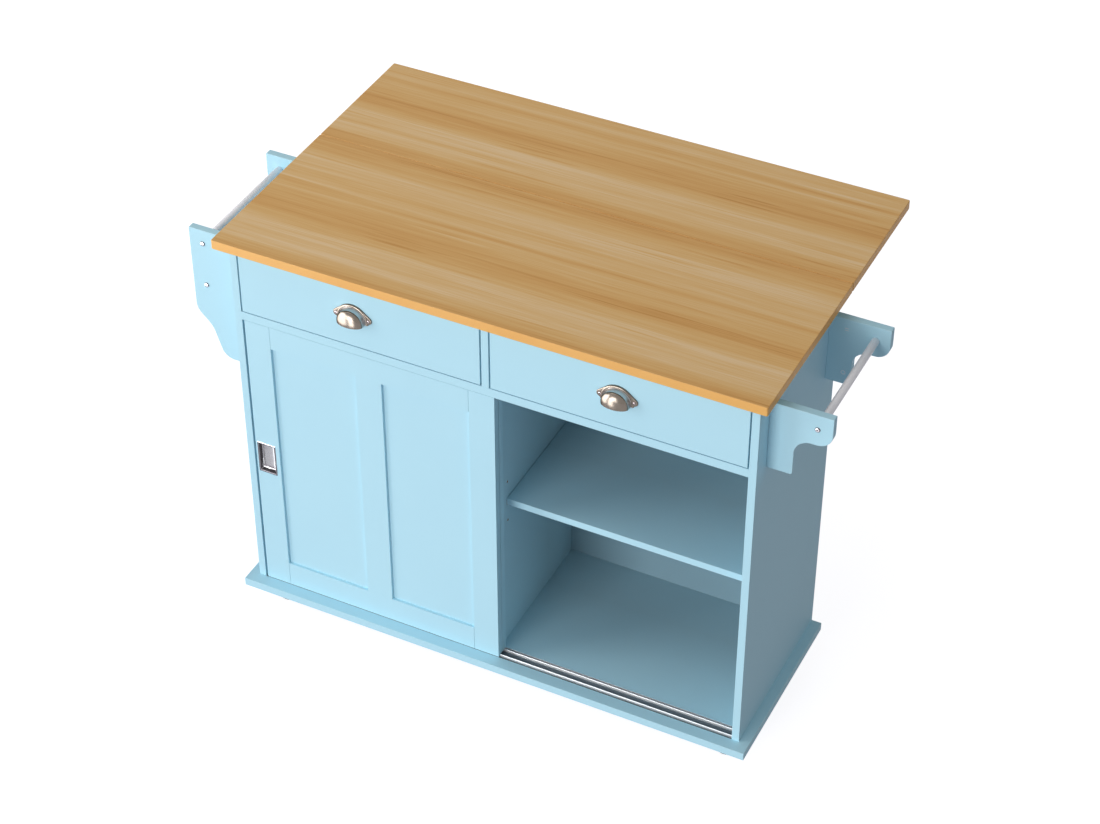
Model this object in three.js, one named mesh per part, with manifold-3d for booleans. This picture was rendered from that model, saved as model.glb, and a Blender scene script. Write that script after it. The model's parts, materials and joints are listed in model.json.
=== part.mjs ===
// A kitchen island on four casters: a painted cabinet with two drawers, two shaker
// doors that pass each other on a track, an adjustable shelf on each side, a wood-look
// top with a drop leaf on folding brackets, a spice rack and a towel rail.
//
// Millimetres, +Z up. X is zero on the centre line, Y is zero on the cabinet's front
// face and grows to the back, Z is zero on the floor.
import * as THREE from "three";
import { mergeVertices } from "three/addons/utils/BufferGeometryUtils.js";
import Module from "manifold-3d";

// ---- Driving sizes ---------------------------------------------------------

// Cabinet
const cabinetWidth = 1057;
const cabinetDepth = 371.5;
const cabinetHeight = 817;
const panelThick = 15;
const backThick = 8;
const backInset = 17;
const drawerBayHeight = 147.5;
const deckThick = 18;
const dividerSetBack = 33;
const stretcherDepth = 100;

// Base board and its casters
const baseEndOverhang = 20.5;
const baseOverhang = 25.5;
const baseThick = 18;
const casterHeight = 60;
const wheelRadius = 25;
const wheelWidth = 20;
const casterTrail = 18;
const casterInsetX = 43;
const casterInsetY = 60;
const hubRadius = 9.5;
const rimRadius = 18;
const rimStep = 0.5;
const discDip = 2.5;
const discSlope = 1;
const treadRound = 2;
const axleRadius = 4;
const axleEnd = 1.5;
const kingpinRadius = 4;
const forkThick = 2.5;
const forkGap = 2.25;
const cheekInset = 3;
const cheekDrop = 9;
const cheekEye = 9;
const cheekRound = 5;
const plateThick = 2.5;
const plateLength = 60;
const plateWidth = 46;
const plateCorner = 5;
const raceHeight = 2.25;
const raceRadius = 16;
const pedalPin = 2;
const pedalEye = 4.2;
const pedalReach = 20;
const pedalToe = 4.7;
const pedalRound = 2;
const pedalOut = 24;
const pedalUp = 17.5;
const pedalPlay = 1;

// Top and leaf
const topEndOverhang = 21.5;
const topOverhang = 24;
const topThick = 19;
const topEasing = 1;
const leafDepth = 293.25;
const leafGap = 0.75;

// Shelves
const shelfHeight = 346;
const shelfSetBack = 61.5;
const shelfEndGap = 2.25;
const shelfBackGap = 1;
const supportThick = 1.5;
const supportWidth = 10;
const supportLedge = 9;
const supportRise = 10;
const supportBite = 0.25;
const pinRise = 4;
const pinRadius = 2.5;
const pinPitch = 48;
const pinSetBack = 67;
const pinFromBack = 36;
const pinLength = 6;

// Doors and their tracks
const doorWidth = 526.25;
const doorSideGap = 4.75;
const doorFootGap = 1;
const doorHeadGap = 0.5;
const doorGap = 1.75;
const frameThick = 6;
const doorBoardThick = 9;
const stileWidth = 53;
const midStileWidth = 55;
const topRailWidth = 51;
const footRailWidth = 56;
const trackDepth = 5;
const trackWidth = 31.5;
const trackWall = 1.25;
const railRise = 2;
const railThick = 2;
const railPlay = 1;
const headTrackDepth = 8;
const tongueThick = 4;
const tongueHeight = 5;
const channelWidth = 6;

// Flush pulls of the doors
const flushWidth = 41;
const flushHeight = 74;
const flushProud = 0.75;
const flushFrame = 3.5;
const flushDepth = 12;
const flushWall = 1;
const flushEdge = 3.5;
const flushBottom = 284.5;
const flushCorner = 2;
const pocketCorner = 3;

// Drawers
const frontSideGap = 3;
const frontFootGap = 1.5;
const frontHeadGap = 3;
const frontEasing = 1;
const boxBackGap = 21.5;
const boxHeight = 100;
const boxWall = 12;
const boxLift = 15.5;
const bottomThick = 5;
const bottomLift = 8;
const bottomGroove = 6;
const runnerSpace = 12.75;
const runnerEndGap = 10;
const runnerHeight = 36;
const runnerWall = 1.25;
const runnerDepth = 9.5;
const runnerLift = 53.5;
const runnerPlay = 0.5;

// Cup pulls of the drawers
const cupRadius = 30;
const cupReach = 25.5;
const cupWall = 1.5;
const cupFillet = 1.5;
const cupFlange = 5.5;
const cupFlangeThick = 2;
const cupDrop = 9;
const cupSkirt = 2;
const cupLowered = 2.5;
// The photo shows each pull a little off the middle of its front.
const cupOffset = { left_drawer: -9.5, right_drawer: 1 };
const earReach = 40;
const earRadius = 8;

// Racks on the two ends
const rackDepth = 117;
const rackTopDrop = 23;
const plateSetBack = 44;
const plateFromBack = 35;
const rodRadius = 7.5;
const rodInset = 28.5;
const rodDrop = 30;
const rodPitch = 95;
const screwRadius = 2;
const screwHeadRadius = 5;
const screwHeadHeight = 2.5;
const screwHeadRound = 1;
const plateTopCorner = 1.5;
const towelPlateHeight = 146;
const towelStepHeight = 65;
const towelStepHollow = 32;
const towelStepRound = 28;
const towelFootWidth = 48.5;
const towelFootRound = 5;
const spicePlateHeight = 289;
const spiceFootWidth = 62;
const spiceFootRound = 26;
const spiceWaistWidth = 84;
const spiceWaistHeight = 221.25;
const spiceWaistHollow = 50;
const spiceShoulderHeight = 188.5;
const spiceShoulderRound = 30;
const spiceShelfDrop = 177;
const spiceShelfInset = 13;

// Folding brackets under the leaf
const bracketInset = 130;
const armLength = 230;
const armWidth = 13;
const armDepth = 12;
const armNeck = 11;
const armTipRound = 8;
const sheetThick = 1.5;
const sheetPlay = 0.5;
const rivetRise = 1;
const hingePinRadius = 2.5;
const lugRadius = 5.5;
const hingeSetBack = 0.5;
const legLength = 200;
const legDepth = 15.5;
const legNeck = 16.5;
const legFootRound = 5;
const braceDrop = 170;
const braceWidth = 12;
const braceThick = 4;
const bracePinRadius = 3;
const rollerRadius = 3.5;
const rollerWidth = 7;

// Play between pieces that turn, slide or seat in one another
const fit = 0.3;

// A cutting solid runs this far past a face that it opens
const past = 1;

// A round end is drawn this much under its half width, so that its two arcs stay apart
const arcGap = 0.25;

// ---- Places that follow from the sizes --------------------------------------

const outerX = cabinetWidth / 2;
const innerX = outerX - panelThick;
const baseX = outerX + baseEndOverhang;
const topX = outerX + topEndOverhang;
const baseTop = casterHeight + baseThick;
const cabinetTop = baseTop + cabinetHeight;
const deckTop = cabinetTop - drawerBayHeight;
const deckFoot = deckTop - deckThick;
const backRear = cabinetDepth - backInset;
const backFront = backRear - backThick;
const halfDivider = panelThick / 2;
const doorThick = frameThick + doorBoardThick;
const doorFoot = baseTop + doorFootGap;
const doorHead = deckFoot - doorHeadGap;
const rearDoorY = doorThick + doorGap;
const leafFront = cabinetDepth + leafGap;
const leafBack = leafFront + leafDepth;
const rackTop = cabinetTop - rackTopDrop;
const bayWidth = innerX - halfDivider;
const bayCentre = halfDivider + bayWidth / 2;
const middleY = (leafBack - Math.max(baseOverhang, cupReach)) / 2;

// ---- Finishes ---------------------------------------------------------------

const paint = { color: 0xbfe3f0, roughness: 0.55, metalness: 0 };
const board = { color: 0xa9bcc6, roughness: 0.7, metalness: 0 };
const wood = { color: 0xc9a06a, roughness: 0.5, metalness: 0 };
const nickel = { color: 0xb9b6ae, roughness: 0.35, metalness: 1 };
const aluminium = { color: 0xc6c9cc, roughness: 0.4, metalness: 1 };
const steel = { color: 0x9ea3a8, roughness: 0.4, metalness: 1 };
const rodCoat = { color: 0xd4d3d0, roughness: 0.35, metalness: 0.3 };
const tyre = { color: 0x2b2d30, roughness: 0.6, metalness: 0 };

// ---- Solids -----------------------------------------------------------------

const library = await Module();
library.setup();

function solid(geometry) {
  const loose = geometry.index ? geometry.toNonIndexed() : geometry;
  const bare = new THREE.BufferGeometry();
  bare.setAttribute("position", loose.getAttribute("position"));
  const merged = mergeVertices(bare, 1e-4);
  const mesh = new library.Mesh({
    numProp: 3,
    vertProperties: merged.getAttribute("position").array,
    triVerts: new Uint32Array(merged.index.array),
  });
  return new library.Manifold(mesh);
}

function join(...solids) {
  return solids.reduce((whole, next) => whole.add(next));
}

function cut(whole, ...tools) {
  return tools.reduce((left, tool) => left.subtract(tool), whole);
}

// Every corner of the geometry goes where place sends it.
function moved(geometry, place) {
  const corners = geometry.getAttribute("position");
  for (let i = 0; i < corners.count; i++) {
    const [x, y, z] = [corners.getX(i), corners.getY(i), corners.getZ(i)];
    corners.setXYZ(i, ...place(x, y, z));
  }
  return geometry;
}

function sorted(a, b) {
  return [Math.min(a, b), Math.max(a, b)];
}

function block([x0, x1], [y0, y1], [z0, z1]) {
  const cube = new THREE.BoxGeometry(1, 1, 1);
  const pick = (side, low, high) => (side < 0 ? low : high);
  const place = (x, y, z) => [pick(x, x0, x1), pick(y, y0, y1), pick(z, z0, z1)];
  return solid(moved(cube, place));
}

// A closed outline through corners [a, b, radius], with each radius as an arc.
function outline(corners, arcSteps = 6) {
  const points = [];
  corners.forEach(([a, b, radius = 0], i) => {
    const here = new THREE.Vector2(a, b);
    if (!radius) {
      points.push(here);
      return;
    }
    const [pa, pb] = corners.at(i - 1);
    const [na, nb] = corners[(i + 1) % corners.length];
    const back = new THREE.Vector2(pa, pb).sub(here).normalize();
    const on = new THREE.Vector2(na, nb).sub(here).normalize();
    const half = Math.acos(THREE.MathUtils.clamp(back.dot(on), -1, 1)) / 2;
    const toCentre = back.clone().add(on).normalize();
    const centre = here.clone().addScaledVector(toCentre, radius / Math.sin(half));
    const start = here.clone().addScaledVector(back, radius / Math.tan(half)).sub(centre);
    const sweep = (Math.PI - 2 * half) * Math.sign(back.cross(on));
    for (let k = 0; k <= arcSteps; k++) {
      const turn = -(sweep * k) / arcSteps;
      points.push(start.clone().rotateAround(new THREE.Vector2(), turn).add(centre));
    }
  });
  return new THREE.Shape(points);
}

// The outline drawn out between two planes. Across x it is drawn in (y, z), across y
// in (x, z) and across z in (x, y).
function prism(shape, axis, [from, to]) {
  const extruded = new THREE.ExtrudeGeometry(shape, { depth: 1, bevelEnabled: false });
  const places = {
    x: (a, b, t) => [t < 0.5 ? from : to, a, b],
    y: (a, b, t) => [a, t < 0.5 ? to : from, b],
    z: (a, b, t) => [a, b, t < 0.5 ? from : to],
  };
  return solid(moved(extruded, places[axis]));
}

// A profile of [radius, distance along the axis] turned round an axis through centre.
function turned(profile, axis, [cx, cy, cz], sides = 16) {
  const points = profile.map(([radius, along]) => new THREE.Vector2(radius, along));
  const lathe = new THREE.LatheGeometry(points, sides);
  const places = {
    x: (x, y, z) => [y + cx, z + cy, x + cz],
    y: (x, y, z) => [x + cx, y + cy, z + cz],
    z: (x, y, z) => [z + cx, x + cy, y + cz],
  };
  return solid(moved(lathe, places[axis]));
}

function pin(radius, [from, to], axis, centre, sides = 16) {
  return turned([[0, from], [radius, from], [radius, to], [0, to]], axis, centre, sides);
}

function rectangle([a0, a1], [b0, b1], radius = 0) {
  return outline([[a0, b0, radius], [a1, b0, radius], [a1, b1, radius], [a0, b1, radius]], 4);
}

function piece(name, shape, finish) {
  const mesh = shape.getMesh();
  const geometry = new THREE.BufferGeometry();
  geometry.setAttribute("position", new THREE.BufferAttribute(mesh.vertProperties, 3));
  geometry.setIndex(new THREE.BufferAttribute(mesh.triVerts, 1));
  geometry.computeVertexNormals();
  const made = new THREE.Mesh(geometry, new THREE.MeshStandardMaterial(finish));
  made.name = name;
  return made;
}

function assembly(at, ...pieces) {
  const group = new THREE.Group();
  group.position.set(...at);
  group.add(...pieces);
  return group;
}

// ---- Carcass ----------------------------------------------------------------

const casterX = baseX - casterInsetX;
const casterYs = { front: casterInsetY - baseOverhang, rear: cabinetDepth - casterInsetY };

// The caster's fixed half: its screwed plate, the ball race and the kingpin's hole.
function casterSeat(x, y) {
  const plateFoot = casterHeight - plateThick;
  const raceFoot = plateFoot - raceHeight;
  const spanX = [x - plateLength / 2, x + plateLength / 2];
  const spanY = [y - plateWidth / 2, y + plateWidth / 2];
  const plate = prism(rectangle(spanX, spanY, plateCorner), "z", [plateFoot, casterHeight]);
  const race = pin(raceRadius, [raceFoot, plateFoot], "z", [x, y, 0]);
  const hole = pin(kingpinRadius + fit, [raceFoot - past, casterHeight - fit], "z", [x, y, 0]);
  return [join(plate, race), hole];
}

function baseBoard() {
  let made = block([-baseX, baseX], [-baseOverhang, cabinetDepth], [casterHeight, baseTop]);
  for (const x of [-casterX, casterX]) {
    for (const y of Object.values(casterYs)) {
      const [seat, hole] = casterSeat(x, y);
      made = cut(join(made, seat), hole);
    }
  }
  const grooveHeights = [baseTop - trackDepth, baseTop + past];
  return cut(made, block([-innerX, innerX], [0, trackWidth + fit], grooveHeights));
}

const pinYs = [pinSetBack, backFront - pinFromBack];
const pinBase = baseTop + shelfHeight + pinRise;
const pinRows = [-1, 0, 1].map((row) => pinBase + row * pinPitch);

// Shelf-pin holes in the face at x, drilled towards inward, one column for each pinY.
function pinHoles(x, inward) {
  const ends = sorted(x - inward * past, x + inward * (pinLength + past));
  return pinYs.flatMap((y) => pinRows.map((z) => pin(pinRadius + fit, ends, "x", [0, y, z], 8)));
}

function sidePanel(side) {
  const faces = sorted(side * innerX, side * outerX);
  const panel = block(faces, [0, cabinetDepth], [baseTop, cabinetTop]);
  return cut(panel, ...pinHoles(side * innerX, side));
}

function centreDivider() {
  const made = block([-halfDivider, halfDivider], [dividerSetBack, backFront], [baseTop, deckFoot]);
  return cut(made, ...pinHoles(-halfDivider, 1), ...pinHoles(halfDivider, -1));
}

const tongueY = frameThick + tongueThick / 2;
const headChannels = [tongueY, rearDoorY + tongueY];
const headWidth = [
  headChannels[0] - channelWidth / 2 - trackWall,
  headChannels[1] + channelWidth / 2 + trackWall,
];

function drawerDeck() {
  const deck = block([-innerX, innerX], [0, backFront], [deckFoot, deckTop]);
  const groove = block(
    [-innerX - past, innerX + past],
    [headWidth[0] - fit, headWidth[1] + fit],
    [deckFoot - past, deckFoot + headTrackDepth],
  );
  return cut(deck, groove);
}

const stretcherFoot = cabinetTop - panelThick;
const stretcherFront = backFront - stretcherDepth;

function drawerPartition() {
  const made = block([-halfDivider, halfDivider], [0, backFront], [deckTop, cabinetTop]);
  const notch = block(
    [-panelThick, panelThick],
    [stretcherFront - fit, backFront + past],
    [stretcherFoot, cabinetTop + past],
  );
  return cut(made, notch);
}

function topStretcher() {
  const heights = [stretcherFoot, cabinetTop];
  return block([-innerX, innerX], [stretcherFront, backFront], heights);
}

function backPanel() {
  return block([-innerX, innerX], [backFront, backRear], [baseTop, cabinetTop]);
}

// An angle support at a shelf's end: a ledge under the board, an upright beside its end
// and a pin in the panel's hole.
function shelfSupport(end, out, y, foot) {
  const width = [y - supportWidth / 2, y + supportWidth / 2];
  const ledgeFoot = foot - supportThick;
  const outer = end + out * supportThick;
  const stemEnds = sorted(end, end + out * (shelfEndGap + pinLength));
  return join(
    block(sorted(end - out * supportLedge, outer), width, [ledgeFoot, foot]),
    block(sorted(end - out * supportBite, outer), width, [ledgeFoot, foot + supportRise]),
    pin(pinRadius, stemEnds, "x", [0, y, foot + pinRise], 8),
  );
}

// One shelf with the four supports that hold it.
function shelf(side) {
  const [inner, outer] = [side * (halfDivider + shelfEndGap), side * (innerX - shelfEndGap)];
  const foot = baseTop + shelfHeight;
  const depth = [shelfSetBack, backFront - shelfBackGap];
  const made = block(sorted(inner, outer), depth, [foot, foot + panelThick]);
  const supports = pinYs.flatMap((y) => [
    shelfSupport(inner, -side, y, foot),
    shelfSupport(outer, side, y, foot),
  ]);
  return join(made, ...supports);
}

// ---- Door tracks ------------------------------------------------------------

const railYs = [doorThick / 2, rearDoorY + doorThick / 2];

// A shallow aluminium tray in the base board with a rail for each door.
function bottomTrack() {
  const floorTop = baseTop - trackDepth + trackWall;
  const ends = [-innerX + fit, innerX - fit];
  const tray = block(ends, [fit, trackWidth], [baseTop - trackDepth, floorTop]);
  const wall = block(ends, [trackWidth - trackWall, trackWidth], [baseTop - trackDepth, baseTop]);
  const rails = railYs.map((y) =>
    block(ends, [y - railThick / 2, y + railThick / 2], [baseTop - trackDepth, baseTop + railRise]),
  );
  return join(tray, wall, ...rails);
}

// The head track: a strip with two channels for the tongues on the doors' top edges.
function topTrack() {
  const ends = [-innerX + fit, innerX - fit];
  const strip = block(ends, headWidth, [deckFoot, deckFoot + headTrackDepth]);
  const length = [-innerX - past, innerX + past];
  const heights = [deckFoot - past, deckFoot + headTrackDepth - trackWall];
  const half = channelWidth / 2;
  const channels = headChannels.map((y) => block(length, [y - half, y + half], heights));
  const between = [headChannels[0] + half + trackWall, headChannels[1] - half - trackWall];
  return cut(strip, ...channels, block(length, between, heights));
}

// ---- Doors ------------------------------------------------------------------

const doorHeight = doorHead - doorFoot;
const windowWidth = (doorWidth - 2 * stileWidth - midStileWidth) / 2;
const windowHeights = [doorFoot + footRailWidth, doorHead - topRailWidth];
const flushZ = [baseTop + flushBottom, baseTop + flushBottom + flushHeight];

// A door hangs in its own frame: X from its left edge, Y from its front face.
function railGroove() {
  const y = doorThick / 2;
  const half = railThick / 2 + railPlay;
  return block(
    [-past, doorWidth + past],
    [y - half, y + half],
    [doorFoot - past, baseTop + railRise + fit],
  );
}

// The pull's pocket: flushEdge in from the door's edge that trails when it opens.
function pullSpan(onRight) {
  const left = onRight ? doorWidth - flushEdge - flushWidth : flushEdge;
  return [left, left + flushWidth];
}

function shrunk([low, high], by) {
  return [low + by, high - by];
}

function pullPocket(onRight) {
  const size = flushFrame - fit;
  return prism(
    rectangle(shrunk(pullSpan(onRight), size), shrunk(flushZ, size), pocketCorner),
    "y",
    [-past, flushDepth + fit],
  );
}

function doorBoard(onRight) {
  const made = block([0, doorWidth], [frameThick, doorThick], [doorFoot, doorHead]);
  const tongue = block(
    [0, doorWidth],
    [frameThick, frameThick + tongueThick],
    [doorHead - past, doorHead + tongueHeight],
  );
  return cut(join(made, tongue), railGroove(), pullPocket(onRight));
}

function doorFrame(onRight) {
  const windows = [stileWidth, stileWidth + windowWidth + midStileWidth].map((x) =>
    block([x, x + windowWidth], [-past, frameThick + past], windowHeights),
  );
  const made = block([0, doorWidth], [0, frameThick], [doorFoot, doorHead]);
  return cut(made, ...windows, railGroove(), pullPocket(onRight));
}

function flushPull(onRight) {
  const span = pullSpan(onRight);
  const flange = prism(rectangle(span, flushZ, flushCorner), "y", [-flushProud, 0]);
  const tub = prism(
    rectangle(shrunk(span, flushFrame), shrunk(flushZ, flushFrame), pocketCorner),
    "y",
    [-flushProud / 2, flushDepth],
  );
  const inset = flushFrame + flushWall;
  const hollow = prism(
    rectangle(shrunk(span, inset), shrunk(flushZ, inset), pocketCorner - flushWall / 2),
    "y",
    [-flushProud - past, flushDepth - flushWall],
  );
  return cut(join(flange, tub), hollow);
}

function door(name, y, pullOnRight) {
  return assembly(
    [-innerX + doorSideGap, y, 0],
    piece(name + "_panel", doorBoard(pullOnRight), paint),
    piece(name + "_frame", doorFrame(pullOnRight), paint),
    piece(name + "_pull", flushPull(pullOnRight), nickel),
  );
}

// ---- Drawers ----------------------------------------------------------------

// A drawer stands in its own frame: X from the middle of its bay.
const frontFoot = deckTop + frontFootGap;
const frontHead = cabinetTop - frontHeadGap;
const halfFront = bayWidth / 2 - frontSideGap;
const halfBox = bayWidth / 2 - runnerSpace;
const boxFoot = deckTop + boxLift;
const boxBack = backFront - boxBackGap;
const runnerZ = deckTop + runnerLift;
const boardFoot = boxFoot + bottomLift;

function drawerFront() {
  const corners = [
    [0, frontFoot, frontEasing],
    [panelThick, frontFoot],
    [panelThick, frontHead],
    [0, frontHead, frontEasing],
  ];
  return prism(outline(corners, 2), "x", [-halfFront, halfFront]);
}

function drawerBox() {
  const outer = block([-halfBox, halfBox], [panelThick, boxBack], [boxFoot, boxFoot + boxHeight]);
  const inner = halfBox - boxWall;
  const hollow = block(
    [-inner, inner],
    [panelThick + boxWall, boxBack - boxWall],
    [boxFoot - past, boxFoot + boxHeight + past],
  );
  const reach = inner + bottomGroove;
  const groove = block(
    [-reach, reach],
    [panelThick + boxWall - bottomGroove, boxBack - boxWall + bottomGroove],
    [boardFoot, boardFoot + bottomThick + fit],
  );
  return cut(outer, hollow, groove);
}

function drawerBottom() {
  const reach = halfBox - boxWall + bottomGroove - fit;
  return block(
    [-reach, reach],
    [panelThick + boxWall - bottomGroove + fit, boxBack - boxWall + bottomGroove - fit],
    [boardFoot, boardFoot + bottomThick],
  );
}

// A channel with its web at x and its flanges pointing towards out.
function channel(x, out, depth, height, span) {
  const half = height / 2;
  const body = block(sorted(x, x + out * depth), span, [runnerZ - half, runnerZ + half]);
  const hollow = block(
    sorted(x + out * runnerWall, x + out * (depth + past)),
    [span[0] - past, span[1] + past],
    [runnerZ - half + runnerWall, runnerZ + half - runnerWall],
  );
  return cut(body, hollow);
}

const runnerSpan = [panelThick, boxBack - runnerEndGap];

function cabinetChannel(side) {
  return channel((side * bayWidth) / 2, -side, runnerDepth, runnerHeight, runnerSpan);
}

function drawerSlide(side) {
  const height = runnerHeight - 2 * runnerWall - 2 * runnerPlay;
  const depth = runnerSpace - runnerWall - runnerPlay;
  return channel(side * halfBox, side, depth, height, runnerSpan);
}

// A quarter turn of an oval between two [radius, along] points, for the cup's shell.
function cupArc(radius, reach, steps = 6) {
  return Array.from({ length: steps + 1 }, (_, i) => {
    const turn = (i / steps) * (Math.PI / 2);
    return [radius * Math.sin(turn), -reach * Math.cos(turn)];
  });
}

// Half a shallow dome, open below, on a flange with an ear at each side.
function cupPull() {
  const z = (frontFoot + frontHead) / 2 - cupLowered;
  const domeZ = z - cupDrop;
  const rim = -cupFlangeThick - cupFillet;
  const profile = [
    ...cupArc(cupRadius, cupReach).filter(([, along]) => along < rim),
    [cupRadius + cupFillet / 3, rim],
    [cupRadius + cupFillet, -cupFlangeThick],
    [cupRadius + cupFlange, -cupFlangeThick],
    [cupRadius + cupFlange, 0],
    [0, 0],
  ];
  const dome = turned(profile, "y", [0, 0, domeZ], 28);
  const ears = prism(
    rectangle([-earReach, earReach], [z - earRadius, z + earRadius], earRadius - arcGap),
    "y",
    [-cupFlangeThick, 0],
  );
  const inner = cupRadius - cupWall;
  const inside = [...cupArc(inner, cupReach - cupWall), [inner, past], [0, past]];
  const hollow = turned(inside, "y", [0, 0, domeZ], 28);
  const below = block(
    [-earReach - past, earReach + past],
    [-cupReach - past, past],
    [domeZ - 2 * cupRadius, domeZ - cupSkirt],
  );
  return cut(join(dome, ears), hollow, below);
}

function drawer(name, side) {
  return assembly(
    [side * bayCentre, 0, 0],
    piece(name + "_front", drawerFront(), paint),
    piece(name + "_box", drawerBox(), board),
    piece(name + "_bottom", drawerBottom(), board),
    assembly([cupOffset[name], 0, 0], piece(name + "_pull", cupPull(), nickel)),
    piece(name + "_slide_left", drawerSlide(-1), steel),
    piece(name + "_slide_right", drawerSlide(1), steel),
  );
}

function bayChannels(name, side) {
  return assembly(
    [side * bayCentre, 0, 0],
    piece(name + "_channel_left", cabinetChannel(-1), steel),
    piece(name + "_channel_right", cabinetChannel(1), steel),
  );
}

// ---- Top and leaf -----------------------------------------------------------

function topBoard([front, back]) {
  const foot = cabinetTop;
  const head = cabinetTop + topThick;
  const eased = outline(
    [[front, foot, topEasing], [back, foot], [back, head, topEasing], [front, head, topEasing]],
    2,
  );
  return prism(eased, "x", [-topX, topX]);
}

// ---- Folding brackets -------------------------------------------------------

const hingeY = cabinetDepth + hingeSetBack;
const hingeZ = cabinetTop - armDepth / 2;
const bracketX = outerX - bracketInset;
const legInner = armWidth / 2 + sheetPlay;
const legOuter = legInner + sheetThick;
const braceY = backRear + sheetThick + sheetPlay + braceWidth / 2;
const braceZ = hingeZ - braceDrop;

// The leg is screwed to the cabinet's back. Its cheeks carry the leaf's hinge pin at
// the top and the brace's pin lower down.
function bracketLeg(x) {
  const foot = hingeZ - legLength;
  const head = hingeZ + lugRadius;
  const cheekShape = outline([
    [backRear, foot],
    [backRear + legDepth, foot, legFootRound],
    [backRear + legDepth, hingeZ - legNeck],
    [hingeY + lugRadius, hingeZ - lugRadius, lugRadius - arcGap],
    [hingeY + lugRadius, head, lugRadius - arcGap],
    [backRear, head],
  ]);
  const web = block([x - legOuter, x + legOuter], [backRear, backRear + sheetThick], [foot, head]);
  const cheeks = [-1, 1].map((side) => {
    const faces = sorted(x + side * legInner, x + side * legOuter);
    return prism(cheekShape, "x", faces);
  });
  const across = [x - legOuter - rivetRise, x + legOuter + rivetRise];
  return join(
    web,
    ...cheeks,
    pin(hingePinRadius, across, "x", [0, hingeY, hingeZ]),
    pin(bracePinRadius, across, "x", [0, braceY, braceZ]),
  );
}

// The arm is a channel screwed under the leaf. It turns on the leg's upper pin.
function bracketArm(x) {
  const half = armWidth / 2;
  const tip = hingeY + armLength;
  const foot = cabinetTop - armDepth;
  const cheekShape = outline([
    [hingeY - lugRadius, hingeZ - lugRadius, lugRadius - arcGap],
    [hingeY + armNeck, foot],
    [tip, foot, armTipRound],
    [tip, cabinetTop],
    [hingeY + lugRadius, cabinetTop],
    [hingeY - lugRadius, hingeZ + lugRadius, lugRadius - arcGap],
  ]);
  const web = block(
    [x - half, x + half],
    [hingeY + lugRadius + sheetThick, tip],
    [cabinetTop - sheetThick, cabinetTop],
  );
  const cheeks = [-1, 1].map((side) => {
    const faces = sorted(x + side * half, x + side * (half - sheetThick));
    return prism(cheekShape, "x", faces);
  });
  const hole = pin(hingePinRadius + fit, [x - armWidth, x + armWidth], "x", [0, hingeY, hingeZ]);
  return cut(join(web, ...cheeks), hole);
}

// The brace stands on the leg's lower pin and its roller bears on the arm's web.
function bracketBrace(x) {
  const rollerZ = cabinetTop - sheetThick - fit - rollerRadius;
  const rise = rollerZ - braceZ;
  const root = new THREE.Vector2(braceY, braceZ);
  const tip = new THREE.Vector2(braceY + rise, rollerZ);
  const along = tip.clone().sub(root).normalize();
  const side = new THREE.Vector2(-along.y, along.x);
  const corner = (from, forward, across, radius) => {
    const at = from.clone().addScaledVector(along, forward).addScaledVector(side, across);
    return [at.x, at.y, radius];
  };
  const wide = braceWidth / 2;
  const slim = rollerRadius - arcGap;
  const shape = outline([
    corner(root, -wide, -wide, wide - arcGap),
    corner(tip, slim, -slim, slim - arcGap),
    corner(tip, slim, slim, slim - arcGap),
    corner(root, -wide, wide, wide - arcGap),
  ]);
  const bar = prism(shape, "x", [x - braceThick / 2, x + braceThick / 2]);
  const rollerEnds = [x - rollerWidth / 2, x + rollerWidth / 2];
  const roller = pin(rollerRadius, rollerEnds, "x", [0, tip.x, tip.y]);
  const holeEnds = [x - braceThick, x + braceThick];
  const hole = pin(bracePinRadius + fit, holeEnds, "x", [0, braceY, braceZ]);
  return cut(join(bar, roller), hole);
}

// ---- Racks ------------------------------------------------------------------

const plateYs = [
  [plateSetBack, plateSetBack + panelThick],
  [cabinetDepth - plateFromBack - panelThick, cabinetDepth - plateFromBack],
];
const rodX = outerX + rackDepth - rodInset;
const rodZ = rackTop - rodDrop;

function towelPlate(span) {
  const foot = rackTop - towelPlateHeight;
  const step = rackTop - towelStepHeight;
  const shape = outline([
    [outerX, foot],
    [outerX + towelFootWidth, foot, towelFootRound],
    [outerX + towelFootWidth, step, towelStepHollow],
    [outerX + rackDepth, step, towelStepRound],
    [outerX + rackDepth, rackTop, plateTopCorner],
    [outerX, rackTop],
  ], 8);
  return cut(prism(shape, "y", span), rodHole(1, rodZ));
}

function spicePlate(span) {
  const shape = outline([
    [-outerX, rackTop],
    [-outerX - rackDepth, rackTop, plateTopCorner],
    [-outerX - rackDepth, rackTop - spiceShoulderHeight, spiceShoulderRound],
    [-outerX - spiceWaistWidth, rackTop - spiceWaistHeight, spiceWaistHollow],
    [-outerX - spiceFootWidth, rackTop - spicePlateHeight, spiceFootRound],
    [-outerX, rackTop - spicePlateHeight],
  ], 8);
  return cut(prism(shape, "y", span), rodHole(-1, rodZ), rodHole(-1, rodZ - rodPitch));
}

function rodHole(side, z) {
  return pin(screwRadius + fit, [0, cabinetDepth], "y", [side * rodX, 0, z], 12);
}

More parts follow.
